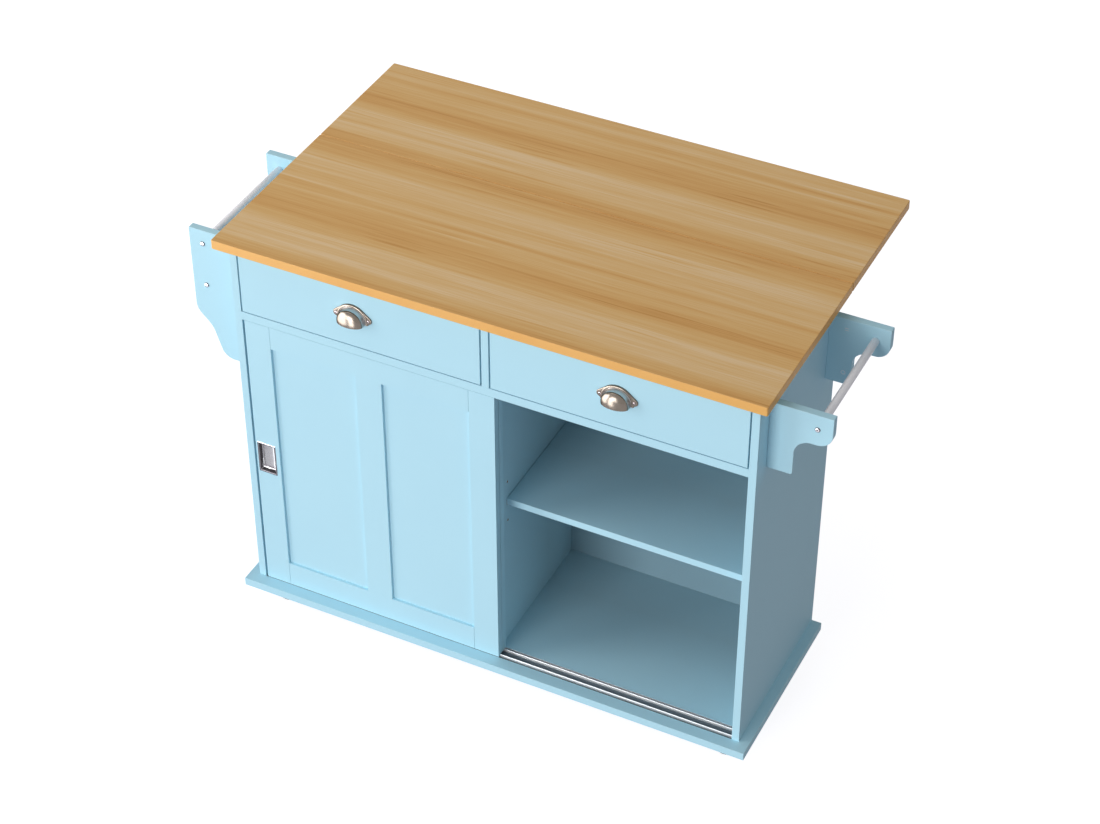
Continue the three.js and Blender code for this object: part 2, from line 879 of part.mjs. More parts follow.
// A rod between the two plates, held through each by a pan-head screw.
function rod(side, z) {
  const [[frontFace, frontInner], [rearInner, rearFace]] = plateYs;
  const profile = [
    [0, frontFace - screwHeadHeight],
    [screwHeadRadius - screwHeadRound, frontFace - screwHeadHeight],
    [screwHeadRadius, frontFace - screwHeadHeight + screwHeadRound],
    [screwHeadRadius, frontFace],
    [screwRadius, frontFace],
    [screwRadius, frontInner],
    [rodRadius, frontInner],
    [rodRadius, rearInner],
    [screwRadius, rearInner],
    [screwRadius, rearFace],
    [screwHeadRadius, rearFace],
    [screwHeadRadius, rearFace + screwHeadHeight - screwHeadRound],
    [screwHeadRadius - screwHeadRound, rearFace + screwHeadHeight],
    [0, rearFace + screwHeadHeight],
  ];
  return turned(profile, "y", [side * rodX, 0, z], 16);
}

function spiceShelf() {
  const foot = rackTop - spiceShelfDrop - panelThick;
  return block(
    [-outerX - rackDepth + spiceShelfInset, -outerX],
    [plateYs[0][1], plateYs[1][0]],
    [foot, foot + panelThick],
  );
}

// ---- Casters ----------------------------------------------------------------

// A caster stands in its own frame: the kingpin's axis at zero, the wheel trailing
// towards +X. The group turns it towards the middle of the island.
const crownTop = casterHeight - plateThick - raceHeight - fit;
const cheekInner = wheelWidth / 2 + forkGap;
const cheekOuter = cheekInner + forkThick;
const pedalX = casterTrail + pedalOut;
const pedalZ = wheelRadius + pedalUp;

function fork(hasBrake) {
  const crownFoot = crownTop - forkThick;
  const crown = pin(raceRadius + forkThick, [crownFoot, crownTop], "z", [0, 0, 0], 20);
  const front = -raceRadius + cheekInset;
  const rear = casterTrail + cheekEye;
  const eyeFoot = wheelRadius - cheekEye;
  const reach = pedalEye + pedalPlay;
  const brow = [
    [pedalX + reach, pedalZ - reach, cheekInset],
    [pedalX + reach, pedalZ + reach, cheekInset],
  ];
  const shape = outline([
    [front, crownTop],
    [front, crownTop - cheekDrop, cheekRound],
    [casterTrail - cheekEye, eyeFoot, cheekRound],
    [rear, eyeFoot, cheekRound],
    ...(hasBrake ? brow : []),
    [rear, crownTop],
  ], 4);
  const cheeks = [[-cheekOuter, -cheekInner], [cheekInner, cheekOuter]].map((faces) =>
    prism(shape, "y", faces),
  );
  const axleEnds = [-cheekOuter - axleEnd, cheekOuter + axleEnd];
  const axle = pin(axleRadius, axleEnds, "y", [casterTrail, 0, wheelRadius]);
  const kingpin = pin(kingpinRadius, [crownFoot, casterHeight - 2 * fit], "z", [0, 0, 0]);
  const made = join(crown, ...cheeks, axle, kingpin);
  if (!hasBrake) return made;
  return join(made, pin(pedalPin, [-cheekOuter, cheekOuter], "y", [pedalX, 0, pedalZ], 12));
}

function wheel() {
  const half = wheelWidth / 2;
  const face = [
    [axleRadius + fit, half],
    [hubRadius, half],
    [hubRadius + discSlope, half - discDip],
    [rimRadius, half - discDip],
    [rimRadius + discSlope, half - rimStep],
    [wheelRadius - treadRound, half - rimStep],
    [wheelRadius, half - rimStep - treadRound],
  ];
  const otherFace = face.map(([radius, along]) => [radius, -along]);
  const loop = [...otherFace, ...face.toReversed(), otherFace[0]];
  return turned(loop, "y", [casterTrail, 0, wheelRadius], 24);
}

// The brake pedal rocks on its pin, and its eye stands just off the tread.
function brakePedal() {
  const half = cheekInner - pedalPlay;
  const foot = pedalZ - pedalEye;
  const shape = outline([
    [pedalX - pedalEye, foot, pedalEye - arcGap],
    [pedalX + pedalReach, foot, pedalRound],
    [pedalX + pedalReach, foot + pedalToe, pedalRound],
    [pedalX + pedalEye, pedalZ + pedalEye, pedalRound],
    [pedalX - pedalEye, pedalZ + pedalEye, pedalEye - arcGap],
  ], 4);
  const hole = pin(pedalPin + fit, [-cheekOuter, cheekOuter], "y", [pedalX, 0, pedalZ], 12);
  return cut(prism(shape, "y", [-half, half]), hole);
}

function caster(name, x, y, hasBrake) {
  const pieces = [
    piece(name + "_fork", fork(hasBrake), steel),
    piece(name + "_wheel", wheel(), tyre),
  ];
  if (hasBrake) pieces.push(piece(name + "_brake", brakePedal(), tyre));
  const made = assembly([x, y, 0], ...pieces);
  made.rotation.z = x > 0 ? Math.PI : 0;
  return made;
}

// ---- The island -------------------------------------------------------------

const cabinet = assembly(
  [0, 0, 0],
  piece("base_board", baseBoard(), paint),
  piece("side_panel_left", sidePanel(-1), paint),
  piece("side_panel_right", sidePanel(1), paint),
  piece("centre_divider", centreDivider(), paint),
  piece("drawer_deck", drawerDeck(), paint),
  piece("drawer_partition", drawerPartition(), paint),
  piece("top_stretcher", topStretcher(), board),
  piece("back_panel", backPanel(), paint),
  piece("shelf_left", shelf(-1), paint),
  piece("shelf_right", shelf(1), paint),
  piece("bottom_track", bottomTrack(), aluminium),
  piece("top_track", topTrack(), aluminium),
  piece("countertop", topBoard([-topOverhang, cabinetDepth]), wood),
);

const leaf = assembly(
  [0, 0, 0],
  piece("drop_leaf", topBoard([leafFront, leafBack]), wood),
  piece("leaf_bracket_arm_left", bracketArm(-bracketX), steel),
  piece("leaf_bracket_arm_right", bracketArm(bracketX), steel),
);

const brackets = assembly(
  [0, 0, 0],
  piece("leaf_bracket_leg_left", bracketLeg(-bracketX), steel),
  piece("leaf_bracket_leg_right", bracketLeg(bracketX), steel),
  piece("leaf_bracket_brace_left", bracketBrace(-bracketX), steel),
  piece("leaf_bracket_brace_right", bracketBrace(bracketX), steel),
);

const racks = assembly(
  [0, 0, 0],
  piece("spice_rack_front_plate", spicePlate(plateYs[0]), paint),
  piece("spice_rack_rear_plate", spicePlate(plateYs[1]), paint),
  piece("spice_rack_shelf", spiceShelf(), paint),
  piece("spice_rack_upper_rod", rod(-1, rodZ), rodCoat),
  piece("spice_rack_lower_rod", rod(-1, rodZ - rodPitch), rodCoat),
  piece("towel_rail_front_plate", towelPlate(plateYs[0]), paint),
  piece("towel_rail_rear_plate", towelPlate(plateYs[1]), paint),
  piece("towel_rail_rod", rod(1, rodZ), rodCoat),
);

const island = assembly(
  [0, -middleY, 0],
  cabinet,
  leaf,
  brackets,
  racks,
  door("front_door", 0, false),
  door("rear_door", rearDoorY, true),
  bayChannels("left_drawer", -1),
  bayChannels("right_drawer", 1),
  drawer("left_drawer", -1),
  drawer("right_drawer", 1),
);
for (const [row, y] of Object.entries(casterYs)) {
  island.add(caster(`caster_${row}_left`, -casterX, y, row === "front"));
  island.add(caster(`caster_${row}_right`, casterX, y, row === "front"));
}

export default island;
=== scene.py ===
import json
import math

import bmesh
import bpy
from mathutils import Matrix, Vector


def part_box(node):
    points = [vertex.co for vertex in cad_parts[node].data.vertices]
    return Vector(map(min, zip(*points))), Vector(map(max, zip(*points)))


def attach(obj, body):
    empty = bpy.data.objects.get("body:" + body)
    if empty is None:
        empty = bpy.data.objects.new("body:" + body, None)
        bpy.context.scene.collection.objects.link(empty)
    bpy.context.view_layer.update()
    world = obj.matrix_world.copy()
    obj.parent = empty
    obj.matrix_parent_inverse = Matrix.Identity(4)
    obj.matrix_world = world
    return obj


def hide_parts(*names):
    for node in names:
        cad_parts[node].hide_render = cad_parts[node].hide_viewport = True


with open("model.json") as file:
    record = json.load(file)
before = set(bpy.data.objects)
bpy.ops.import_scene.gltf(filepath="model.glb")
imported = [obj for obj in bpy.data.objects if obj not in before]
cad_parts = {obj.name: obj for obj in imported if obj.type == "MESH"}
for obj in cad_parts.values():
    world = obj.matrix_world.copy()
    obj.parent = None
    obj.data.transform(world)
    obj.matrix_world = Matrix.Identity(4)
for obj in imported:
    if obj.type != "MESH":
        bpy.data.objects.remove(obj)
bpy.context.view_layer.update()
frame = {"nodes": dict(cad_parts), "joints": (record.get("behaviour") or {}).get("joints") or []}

# ---- The view -----------------------------------------------------------------------
# The unit is seen from its right-hand front corner and from above, through a long lens, so
# that the worktop, the fronts and the right-hand end all show.

eye = Vector((1.69793, -3.48427, 3.60133))
view_azimuth = math.radians(26.36)
view_elevation = math.radians(39.04)

camera = bpy.data.objects.new("camera", bpy.data.cameras.new("camera"))
camera.data.lens = 83.46
camera.data.sensor_width = 36
camera.data.clip_end = 100
camera.location = eye
towards_eye = Vector((
    math.sin(view_azimuth) * math.cos(view_elevation),
    -math.cos(view_azimuth) * math.cos(view_elevation),
    math.sin(view_elevation),
))
camera.rotation_euler = (-towards_eye).to_track_quat("-Z", "Y").to_euler()
bpy.context.scene.collection.objects.link(camera)
bpy.context.scene.camera = camera
bpy.context.scene.view_settings.view_transform = "Standard"

# ---- The studio ---------------------------------------------------------------------
# White paper on the floor of a white room. Two large soft boxes stand far off, at the front
# and the front left, so that the fronts are evenly bright and the right-hand end is in
# shade. A small one hangs over the worktop.


class Wire:
    """One output of a node. Arithmetic on wires adds Math nodes."""

    def __init__(self, tree, socket):
        self.tree, self.socket = tree, socket

    def math(self, operation, a, b=0.0):
        return self.tree.add("ShaderNodeMath", {"operation": operation}, {0: a, 1: b})

    def __add__(self, other):
        return self.math("ADD", self, other)

    def __sub__(self, other):
        return self.math("SUBTRACT", self, other)

    def __rsub__(self, other):
        return self.math("SUBTRACT", other, self)

    def __mul__(self, other):
        return self.math("MULTIPLY", self, other)

    def __truediv__(self, other):
        return self.math("DIVIDE", self, other)

    def __mod__(self, other):
        return self.math("FLOORED_MODULO", self, other)

    __radd__, __rmul__ = __add__, __mul__


class Tree:
    """The nodes of one finish."""

    def __init__(self, name):
        self.material = bpy.data.materials.new(name)
        self.material.use_nodes = True
        self.nodes = self.material.node_tree.nodes
        self.links = self.material.node_tree.links
        self.nodes.clear()

    def add(self, kind, settings=None, sockets=None, out=0):
        """Makes a node, gives it its settings and then its sockets' values or wires."""
        node = self.nodes.new(kind)
        for name, value in (settings or {}).items():
            if name == "stops":
                ramp = node.color_ramp.elements
                while len(ramp) < len(value):
                    ramp.new(1.0)
                for stop, (position, colour) in zip(ramp, value):
                    stop.position, stop.color = position, (*colour, 1)
            else:
                setattr(node, name, value)
        for name, value in (sockets or {}).items():
            if isinstance(value, Wire):
                self.links.new(value.socket, node.inputs[name])
            else:
                node.inputs[name].default_value = value
        return Wire(self, node.outputs[out])

    def place(self):
        """Object coordinates, in metres."""
        return self.add("ShaderNodeTexCoord", out="Object")

    def axes(self):
        """The three object coordinates, each as a number."""
        first = self.add("ShaderNodeSeparateXYZ", {}, {0: self.place()})
        return [Wire(self, number) for number in first.socket.node.outputs]

    def marked(self, name):
        """What the faces are marked with by that name, from 0 to 1."""
        return self.add("ShaderNodeAttribute", {"attribute_name": name}, out="Fac")

    def stretched(self, scale, detail=2.0, roughness=0.5):
        """Noise from 0 to 1 whose grains per metre differ along X, Y and Z."""
        spread = self.add("ShaderNodeMapping", {}, {"Vector": self.place(), "Scale": scale})
        return self.add("ShaderNodeTexNoise", {}, {
            "Vector": spread, "Scale": 1.0, "Detail": detail, "Roughness": roughness,
        })

    def mix(self, share, a, b):
        """Colour a, going over to colour b by the share."""
        return self.add("ShaderNodeMix", {"data_type": "RGBA"}, {0: share, 6: a, 7: b}, out=2)

    def bump(self, height, depth):
        """A relief of that depth in metres, from a height between 0 and 1."""
        sockets = {"Strength": 1.0, "Distance": depth, "Height": height}
        return self.add("ShaderNodeBump", {}, sockets)

    def surface(self, colour, roughness, normal=None, **fixed):
        """Closes the finish with a shader; the fixed sockets are the same all over."""
        sockets = {"Base Color": colour, "Roughness": roughness}
        if normal:
            sockets["Normal"] = normal
        for name, value in fixed.items():
            sockets[name.replace("_", " ").title().replace("Ior", "IOR")] = value
        return self.close(self.add("ShaderNodeBsdfPrincipled", {}, sockets))

    def close(self, shader):
        """Joins the shader to the output and hands over the material."""
        output = self.nodes.new("ShaderNodeOutputMaterial")
        self.links.new(shader.socket, output.inputs["Surface"])
        return self.material


def rgb(red, green, blue):
    """A colour given as on a screen, 0 to 255, in the shader's linear values."""
    def linear(value):
        share = value / 255
        return share / 12.92 if share <= 0.04045 else ((share + 0.055) / 1.055) ** 2.4
    return (linear(red), linear(green), linear(blue), 1)


room_light = 0.30
paper_glow = 0.85


def studio_floor():
    """White paper: it takes the shadow and is otherwise lifted to white for the camera."""
    tree = Tree("floor_paper")
    path = [tree.add("ShaderNodeLightPath", out="Is " + ray + " Ray")
            for ray in ("Camera", "Glossy", "Transmission")]
    seen = tree.add("ShaderNodeMath", {"operation": "ADD", "use_clamp": True},
                    {0: path[0], 1: path[1] + path[2]})
    fibres = tree.stretched((60, 60, 60))
    paper = tree.add("ShaderNodeBsdfDiffuse", {}, {
        "Color": tree.mix(fibres, rgb(184, 183, 194), rgb(188, 187, 198)),
    })
    glow = {"Color": rgb(255, 255, 255), "Strength": seen * paper_glow}
    lift = tree.add("ShaderNodeEmission", {}, glow)
    return tree.close(tree.add("ShaderNodeAddShader", {}, {0: paper, 1: lift}))


floor_mesh = bmesh.new()
bmesh.ops.create_grid(floor_mesh, x_segments=1, y_segments=1, size=30)
floor_data = bpy.data.meshes.new("floor")
floor_mesh.to_mesh(floor_data)
floor_data.materials.append(studio_floor())
floor = bpy.data.objects.new("floor", floor_data)
bpy.context.scene.collection.objects.link(floor)

room = bpy.data.worlds.new("white_room")
room.use_nodes = True
bpy.context.scene.world = room
room_nodes, room_links = room.node_tree.nodes, room.node_tree.links
room_path = room_nodes.new("ShaderNodeLightPath")
seen = room_path.outputs["Is Camera Ray"]
for ray in ("Glossy", "Transmission"):
    either = room_nodes.new("ShaderNodeMath")
    either.operation = "MAXIMUM"
    room_links.new(seen, either.inputs[0])
    room_links.new(room_path.outputs[f"Is {ray} Ray"], either.inputs[1])
    seen = either.outputs[0]
strength = room_nodes.new("ShaderNodeMapRange")
strength.inputs["To Min"].default_value = room_light
strength.inputs["To Max"].default_value = 1.0
room_links.new(seen, strength.inputs["Value"])
room_links.new(strength.outputs[0], room_nodes["Background"].inputs["Strength"])
room_nodes["Background"].inputs["Color"].default_value = (1, 1, 1, 1)


def lamp(name, at, towards, width, height, power):
    """An oblong soft box at a place, turned towards another."""
    made = bpy.data.objects.new(name, bpy.data.lights.new(name, "AREA"))
    made.data.shape = "RECTANGLE"
    made.data.size, made.data.size_y = width, height
    made.data.energy = power
    made.location = at
    made.rotation_euler = (Vector(towards) - Vector(at)).to_track_quat("-Z", "Y").to_euler()
    bpy.context.scene.collection.objects.link(made)
    return made


lamp("front_lamp", (-3.7, -18.0, 4.4), (0, 0, 4.4), 8.8, 8.6, 1680)
lamp("left_lamp", (-11.5, -8.0, 4.6), (0, 0, 4.6), 6.0, 8.8, 700)
lamp("top_lamp", (-1.3, -0.3, 4.2), (0, 0, 0.9), 2.4, 2.4, 26)

# Two white cards stand before the unit and show in the metal alone, as bright patches.
cards = [
    lamp("front_card", (-0.36, -1.6, 0.56), (-0.36, 0, 0.56), 0.5, 1.08, 11),
    lamp("left_card", (-1.32, -0.95, 0.68), (-0.506, -0.369, 0.68), 1.45, 1.32, 36),
]
for card in cards:
    card.visible_diffuse = card.visible_camera = False

# ---- Painted boards -----------------------------------------------------------------
# The cabinet is of fibreboard: 15 mm panels, 18 mm under the drawers and an 8 mm back. It
# is sprayed pale blue on faces and edges; inside, the colour carries painted shade, greyer and
# darker the deeper it lies. The edges are eased by sanding, and the lacquer has a faint orange
# peel.

mm = 0.001
board_easing = 0.6 * mm
panel_easing = 0.4 * mm
deck_easing = 0.1 * mm
# The painted shade inside the cabinet grows from the first of these depths to the second.
inside_shade_from = -310 * mm
inside_shade_full_at = -80 * mm


def paint_finish(name, shade_tone, shade_tone_cloud):
    """Lacquer; the colours given are painted shade for the faces inside the cabinet."""
    tree = Tree(name)
    cloud = tree.stretched((5, 5, 5), detail=3)
    peel = tree.stretched((900, 900, 900), detail=1)
    worn = tree.marked("worn")
    depth = tree.add("ShaderNodeMapRange", {}, {
        "Value": tree.axes()[1], "From Min": inside_shade_from, "From Max": inside_shade_full_at})
    sprayed = tree.mix(cloud, rgb(186, 228, 244), rgb(191, 233, 247))
    # The shade tones are painted shade: faces marked inner go over to them, the more the deeper
    # they lie.
    thin = tree.mix(cloud, shade_tone, shade_tone_cloud)
    colour = tree.mix(tree.marked("inner") * depth, sprayed, thin)
    # Rounded edges go a little lighter: partly wear, partly a painted highlight.
    edge_wear_and_highlight = tree.mix(worn * 0.12, colour, rgb(222, 240, 246))
    roughness = 0.46 + cloud * 0.08 + worn * 0.1
    return tree.surface(edge_wear_and_highlight, roughness, tree.bump(peel, 0.02 * mm), specular_ior_level=0.05)


paint = paint_finish("pale_blue_lacquer", rgb(163, 190, 200), rgb(169, 196, 205))
# The back board's inner face carries a darker painted shade than the other boards.
back_board_shade_paint = paint_finish("back_board_deeper_shade", rgb(136, 165, 178), rgb(142, 171, 183))


def drilled_finish():
    """Bare fibreboard, as in the drilled holes and the grooves."""
    tree = Tree("bare_fibreboard")
    fibres = tree.stretched((400, 400, 400), detail=4)
    colour = tree.mix(fibres, rgb(150, 118, 82), rgb(186, 152, 110))
    return tree.surface(colour, 0.8, tree.bump(fibres, 0.1 * mm))


bare = drilled_finish()


def slab(low, high):
    """A block between two corners."""
    mesh = bmesh.new()
    low, high = Vector(low), Vector(high)
    size = Matrix.Diagonal((*(high - low), 1))
    bmesh.ops.create_cube(mesh, size=1, matrix=Matrix.Translation((low + high) / 2) @ size)
    return mesh


def merged_copy(node):
    """A copy of a CAD node's mesh, with its loose triangles joined into flat faces."""
    mesh = bmesh.new()
    mesh.from_mesh(frame["nodes"][node].data)
    bmesh.ops.remove_doubles(mesh, verts=mesh.verts, dist=0.01 * mm)
    bmesh.ops.dissolve_limit(
        mesh, angle_limit=math.radians(0.5), verts=mesh.verts, edges=mesh.edges)
    return mesh


def face_mark(mesh, name):
    """The mark of that name, which each face carries as a number."""
    marks = mesh.faces.layers.float
    return marks.get(name) or marks.new(name)


def rounded(mesh, parts, radius, segments, clamp=False, affect="EDGES"):
    """Rounds the edges or corners given, and returns the faces of the rounds."""
    return bmesh.ops.bevel(
        mesh, geom=parts, offset=radius, offset_type="OFFSET", segments=segments,
        profile=0.5, affect=affect, material=-1, clamp_overlap=clamp)["faces"]


def ease(mesh, width, segments=2, angle=30):
    """Rounds the edges that are sharper than the angle, and marks the rounds for wear and a
    painted highlight.
    """
    worn = face_mark(mesh, "worn")
    sharp = [edge for edge in mesh.edges if edge.calc_face_angle(0) > math.radians(angle)]
    for face in rounded(mesh, sharp, width, segments, clamp=True):
        face.smooth = True
        face[worn] = 1.0
    return mesh


def piece(name, mesh, finish, body, slot, *nodes):
    """A finished object that rides on a body and stands for the CAD nodes named."""
    data = bpy.data.meshes.new(name)
    mesh.to_mesh(data)
    mesh.free()
    for one in finish if isinstance(finish, list) else [finish]:
        data.materials.append(one)
    made = bpy.data.objects.new(name, data)
    bpy.context.scene.collection.objects.link(made)
    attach(made, body)
    if nodes:
        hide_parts(*nodes)
    return made


def bare_inside(mesh, depth=1.5 * mm):
    """Gives the faces of drilled holes and grooves the second finish."""
    low = Vector([min(v.co[i] for v in mesh.verts) for i in range(3)])
    high = Vector([max(v.co[i] for v in mesh.verts) for i in range(3)])
    for face in mesh.faces:
        middle = face.calc_center_median()
        if all(low[i] + depth < middle[i] < high[i] - depth for i in range(3)):
            face.material_index = 1
    return mesh


inner_low = Vector((-514, -319, 70)) * mm
inner_high = Vector((514, 30, 900)) * mm


def inside_painted_shade(mesh):
    """Marks the faces inside the cabinet for painted shade, apart from the front edges of boards.
    """
    inner = face_mark(mesh, "inner")
    mesh.normal_update()
    for face in mesh.faces:
        middle = face.calc_center_median()
        front_edge = face.normal.y < -0.5 and middle.y < 0
        if all(inner_low[i] < middle[i] < inner_high[i] for i in range(3)) and not front_edge:
            face[inner] = 1.0
    return mesh


for board in ("side_panel_left", "side_panel_right", "centre_divider"):
    drilled = inside_painted_shade(bare_inside(ease(merged_copy(board), panel_easing)))
    piece(board + "_board", drilled, [paint, bare], "cabinet", "blue_paint", board)

for board in ("drawer_deck", "drawer_partition", "back_panel", "spice_rack_shelf"):
    easing = deck_easing if board == "drawer_deck" else board_easing
    sanded = inside_painted_shade(ease(merged_copy(board), easing))
    finish = back_board_shade_paint if board == "back_panel" else paint
    piece(board + "_board", sanded, finish, "cabinet", "blue_paint", board)

# ---- Inner rail ---------------------------------------------------------------------
# The rail across the top of the back ties the side panels together. It is of fibreboard
# faced with white melamine, as the drawers are.


def grained_finish(name, tones, cloud, grain, relief, rough, metallic=0.0, detail=3):
    """Two tones in soft clouds and a fine grain in relief; rough is the least and the rise."""
    tree = Tree(name)
    cloud = tree.stretched(cloud, detail=detail)
    relief = tree.bump(tree.stretched(grain), relief)
    return tree.surface(tree.mix(cloud, *tones), rough[0] + cloud * rough[1], relief,
                        metallic=metallic)


melamine = grained_finish(
    "white_melamine", (rgb(222, 224, 222), rgb(232, 233, 230)), cloud=(6, 6, 6),
    grain=(700, 700, 700), relief=0.02 * mm, rough=(0.5, 0.1))
piece("top_stretcher_board", ease(merged_copy("top_stretcher"), panel_easing), melamine,
      "cabinet", "white_board", "top_stretcher")

# ---- Screws -------------------------------------------------------------------------
# Pan-head screws with a pressed cross hold the racks, pulls, brackets, caster plates and
# back. They are chromed, nickel plated or zinc plated, as what they hold.

cross_width = 0.13
cross_sunk = 0.02 * mm
cross_proud = 0.04 * mm


def plated_finish(name, dull, bright):
    """Polished plating; faces marked as pale carry a painted reflection of a white room."""
    tree = Tree(name)
    haze = tree.stretched((90, 90, 90), detail=4)
    scratches = tree.stretched((1500, 60, 1500), detail=2)
    pale = tree.marked("pale")
    colour = tree.mix(pale, tree.mix(haze, dull, bright), rgb(236, 238, 240))
    roughness = 0.2 + haze * 0.08 + pale * 0.1
    return tree.surface(colour, roughness, tree.bump(scratches, 0.004 * mm), metallic=1.0,
                        specular_tint=rgb(120, 115, 112))


nickel = plated_finish("polished_nickel", rgb(114, 106, 98), rgb(128, 119, 110))
chrome = plated_finish("bright_chromium", rgb(212, 209, 216), rgb(232, 230, 235))
satin = plated_finish("satin_nickel", rgb(106, 103, 108), rgb(121, 118, 123))
pink_nickel = plated_finish("screw_nickel", rgb(150, 138, 140), rgb(176, 164, 166))


def turn_to(direction):
    """The turn that takes the Z axis to a direction."""
    return Vector((0, 0, 1)).rotation_difference(Vector(direction)).to_matrix().to_4x4()


def moved(mesh, matrix):
    bmesh.ops.transform(mesh, matrix=matrix, verts=mesh.verts)
    return mesh


def turned(profile, axis, centre, steps=48):
    """A profile of (radius, distance along the axis) turned round an axis through centre."""
    mesh = bmesh.new()
    points = [mesh.verts.new((radius, 0, along)) for radius, along in profile]
    for a, b in zip(points, points[1:]):
        mesh.edges.new((a, b))
    bmesh.ops.spin(
        mesh, geom=mesh.verts[:] + mesh.edges[:], axis=(0, 0, 1), cent=(0, 0, 0),
        angle=math.tau, steps=steps, use_merge=True)
    bmesh.ops.remove_doubles(mesh, verts=mesh.verts, dist=0.001 * mm)
    bmesh.ops.holes_fill(mesh, edges=[e for e in mesh.edges if e.is_boundary])
    bmesh.ops.recalc_face_normals(mesh, faces=mesh.faces)
    for face in mesh.faces:
        face.smooth = len(face.verts) <= 4
    return moved(mesh, Matrix.Translation(centre) @ turn_to(axis))


def poured(target, *others):
    """Adds other meshes to the first one."""
    for other in others:
        data = bpy.data.meshes.new("part")
        other.to_mesh(data)
        other.free()
        target.from_mesh(data)
        bpy.data.meshes.remove(data)
    return target


def screw_head(at, out, radius, height, cross=0.45, finish=0, shaded_flank=None):
    """A domed pan head on the face at the point; the cross and its width are in radii."""
    profile = [(0, height), (0.35 * radius, height), (0.72 * radius, 0.86 * height),
               (0.93 * radius, 0.6 * height), (radius, 0.3 * height), (radius, 0), (0, 0)]
    head = turned(profile, out, at, steps=24)
    for face in head.faces:
        face.material_index = finish
        # Faces on the head's side may take a darker finish: painted shade on its flank.
        beside = (face.calc_center_median() - Vector(at)).cross(Vector(out)).length
        if shaded_flank is not None and beside > 0.78 * radius:
            face.material_index = shaded_flank
    lift = Matrix.Translation(Vector(at) + Vector(out) * height)
    # The cross is a near-black sheet on the head: painted shade standing for its recess.
    long, thin = cross * radius, cross_width * radius
    for x, y in ((long, thin), (thin, long)):
        blade = slab((-x, -y, -cross_sunk), (x, y, cross_proud))
        for face in blade.faces:
            face.material_index = 1
        poured(head, moved(blade, lift @ turn_to(out)))
    return head


def recess_finish():
    """Painted shade for the inside of a screw's recess."""
    tree = Tree("screw_recess")
    recess_shade_mottle = tree.stretched((2000, 2000, 2000))
    return tree.surface(tree.mix(recess_shade_mottle, rgb(34, 34, 36), rgb(52, 51, 50)), 0.7, metallic=0.6)


recess = recess_finish()

# ---- Base board and caster plates ---------------------------------------------------
# A thicker board closes the cabinet below and stands out all round. A groove in its top
# takes the door track; a zinc-plated steel plate is screwed under each corner.

base_thick = 18 * mm
plate_size = Vector((60, 46, 2.5)) * mm
plate_corner = 5 * mm
plate_easing = 0.3 * mm
plate_screws = (22 * mm, 15 * mm)
plate_screw_head = (3.6 * mm, 1.8 * mm)
race_radius = 16 * mm
race_height = 2.25 * mm


zinc = grained_finish(
    "zinc_plated_steel", (rgb(148, 152, 156), rgb(188, 191, 194)), cloud=(35, 35, 35),
    grain=(40, 900, 900), relief=0.01 * mm, rough=(0.28, 0.16), metallic=1.0, detail=4)
joint_at = {joint["name"]: Vector(joint.get("pos_m") or (0, 0, 0)) for joint in frame["joints"]}


def everything(mesh):
    return mesh.verts[:] + mesh.edges[:] + mesh.faces[:]


def only_verts(parts):
    return [part for part in parts if isinstance(part, bmesh.types.BMVert)]


def scored(mesh, low, high, axes):
    """Splits the faces along the borders of a box, across the axes given."""
    for axis in axes:
        for at in (low[axis], high[axis]):
            normal = Vector((0, 0, 0))
            normal[axis] = 1
            bmesh.ops.bisect_plane(
                mesh, geom=everything(mesh), plane_co=normal * at, plane_no=normal)
    mesh.normal_update()


def inside(face, low, high, axes):
    middle = face.calc_center_median()
    return all(low[axis] < middle[axis] < high[axis] for axis in axes)


def base_board():
    low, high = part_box("base_board")
    track_low, track_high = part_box("bottom_track")
    mesh = slab((low.x, low.y, high.z - base_thick), high)
    scored(mesh, track_low, track_high, (0, 1))
    floor_of_groove = [face for face in mesh.faces
                       if face.normal.z > 0.9 and inside(face, track_low, track_high, (0, 1))]
    sunk = bmesh.ops.extrude_face_region(mesh, geom=floor_of_groove)["geom"]
    bmesh.ops.translate(mesh, verts=only_verts(sunk), vec=(0, 0, track_low.z - high.z))
    bmesh.ops.delete(mesh, geom=floor_of_groove, context="FACES")
    return inside_painted_shade(ease(mesh, board_easing))


def round_corners(mesh, radius, segments):
    """Rounds the upright edges of a plate or board."""
    upright = [edge for edge in mesh.edges
               if abs((edge.verts[0].co - edge.verts[1].co).z) > mm]
    rounded(mesh, upright, radius, segments)


def caster_plate(at):
    """The screwed plate with its ball race, above the caster's kingpin."""
    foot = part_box("base_board")[1].z - base_thick
    under = foot - plate_size.z
    half = plate_size / 2
    plate = slab((at.x - half.x, at.y - half.y, under), (at.x + half.x, at.y + half.y, foot))
    round_corners(plate, plate_corner, segments=5)
    ease(plate, plate_easing)
    race = [(0, 0), (race_radius - 1 * mm, 0), (race_radius, 0.5 * mm),
            (race_radius, race_height - 0.4 * mm), (race_radius - 0.4 * mm, race_height),
            (race_radius - 2.5 * mm, race_height), (race_radius - 3 * mm, race_height - 0.6 * mm),
            (0, race_height - 0.6 * mm)]
    poured(plate, turned(race, (0, 0, -1), (at.x, at.y, under)))
    for side in (-1, 1):
        for end in (-1, 1):
            spot = (at.x + side * plate_screws[0], at.y + end * plate_screws[1], under)
            poured(plate, screw_head(spot, (0, 0, -1), *plate_screw_head))
    return plate


piece("base_board_wood", base_board(), paint, "cabinet", "blue_paint", "base_board")
corners = ["front_left", "front_right", "rear_left", "rear_right"]
for corner in corners:
    at = joint_at[f"caster_{corner}_swivel"]
    piece(f"caster_{corner}_plate", caster_plate(at), [zinc, recess], "cabinet", "zinc_steel")

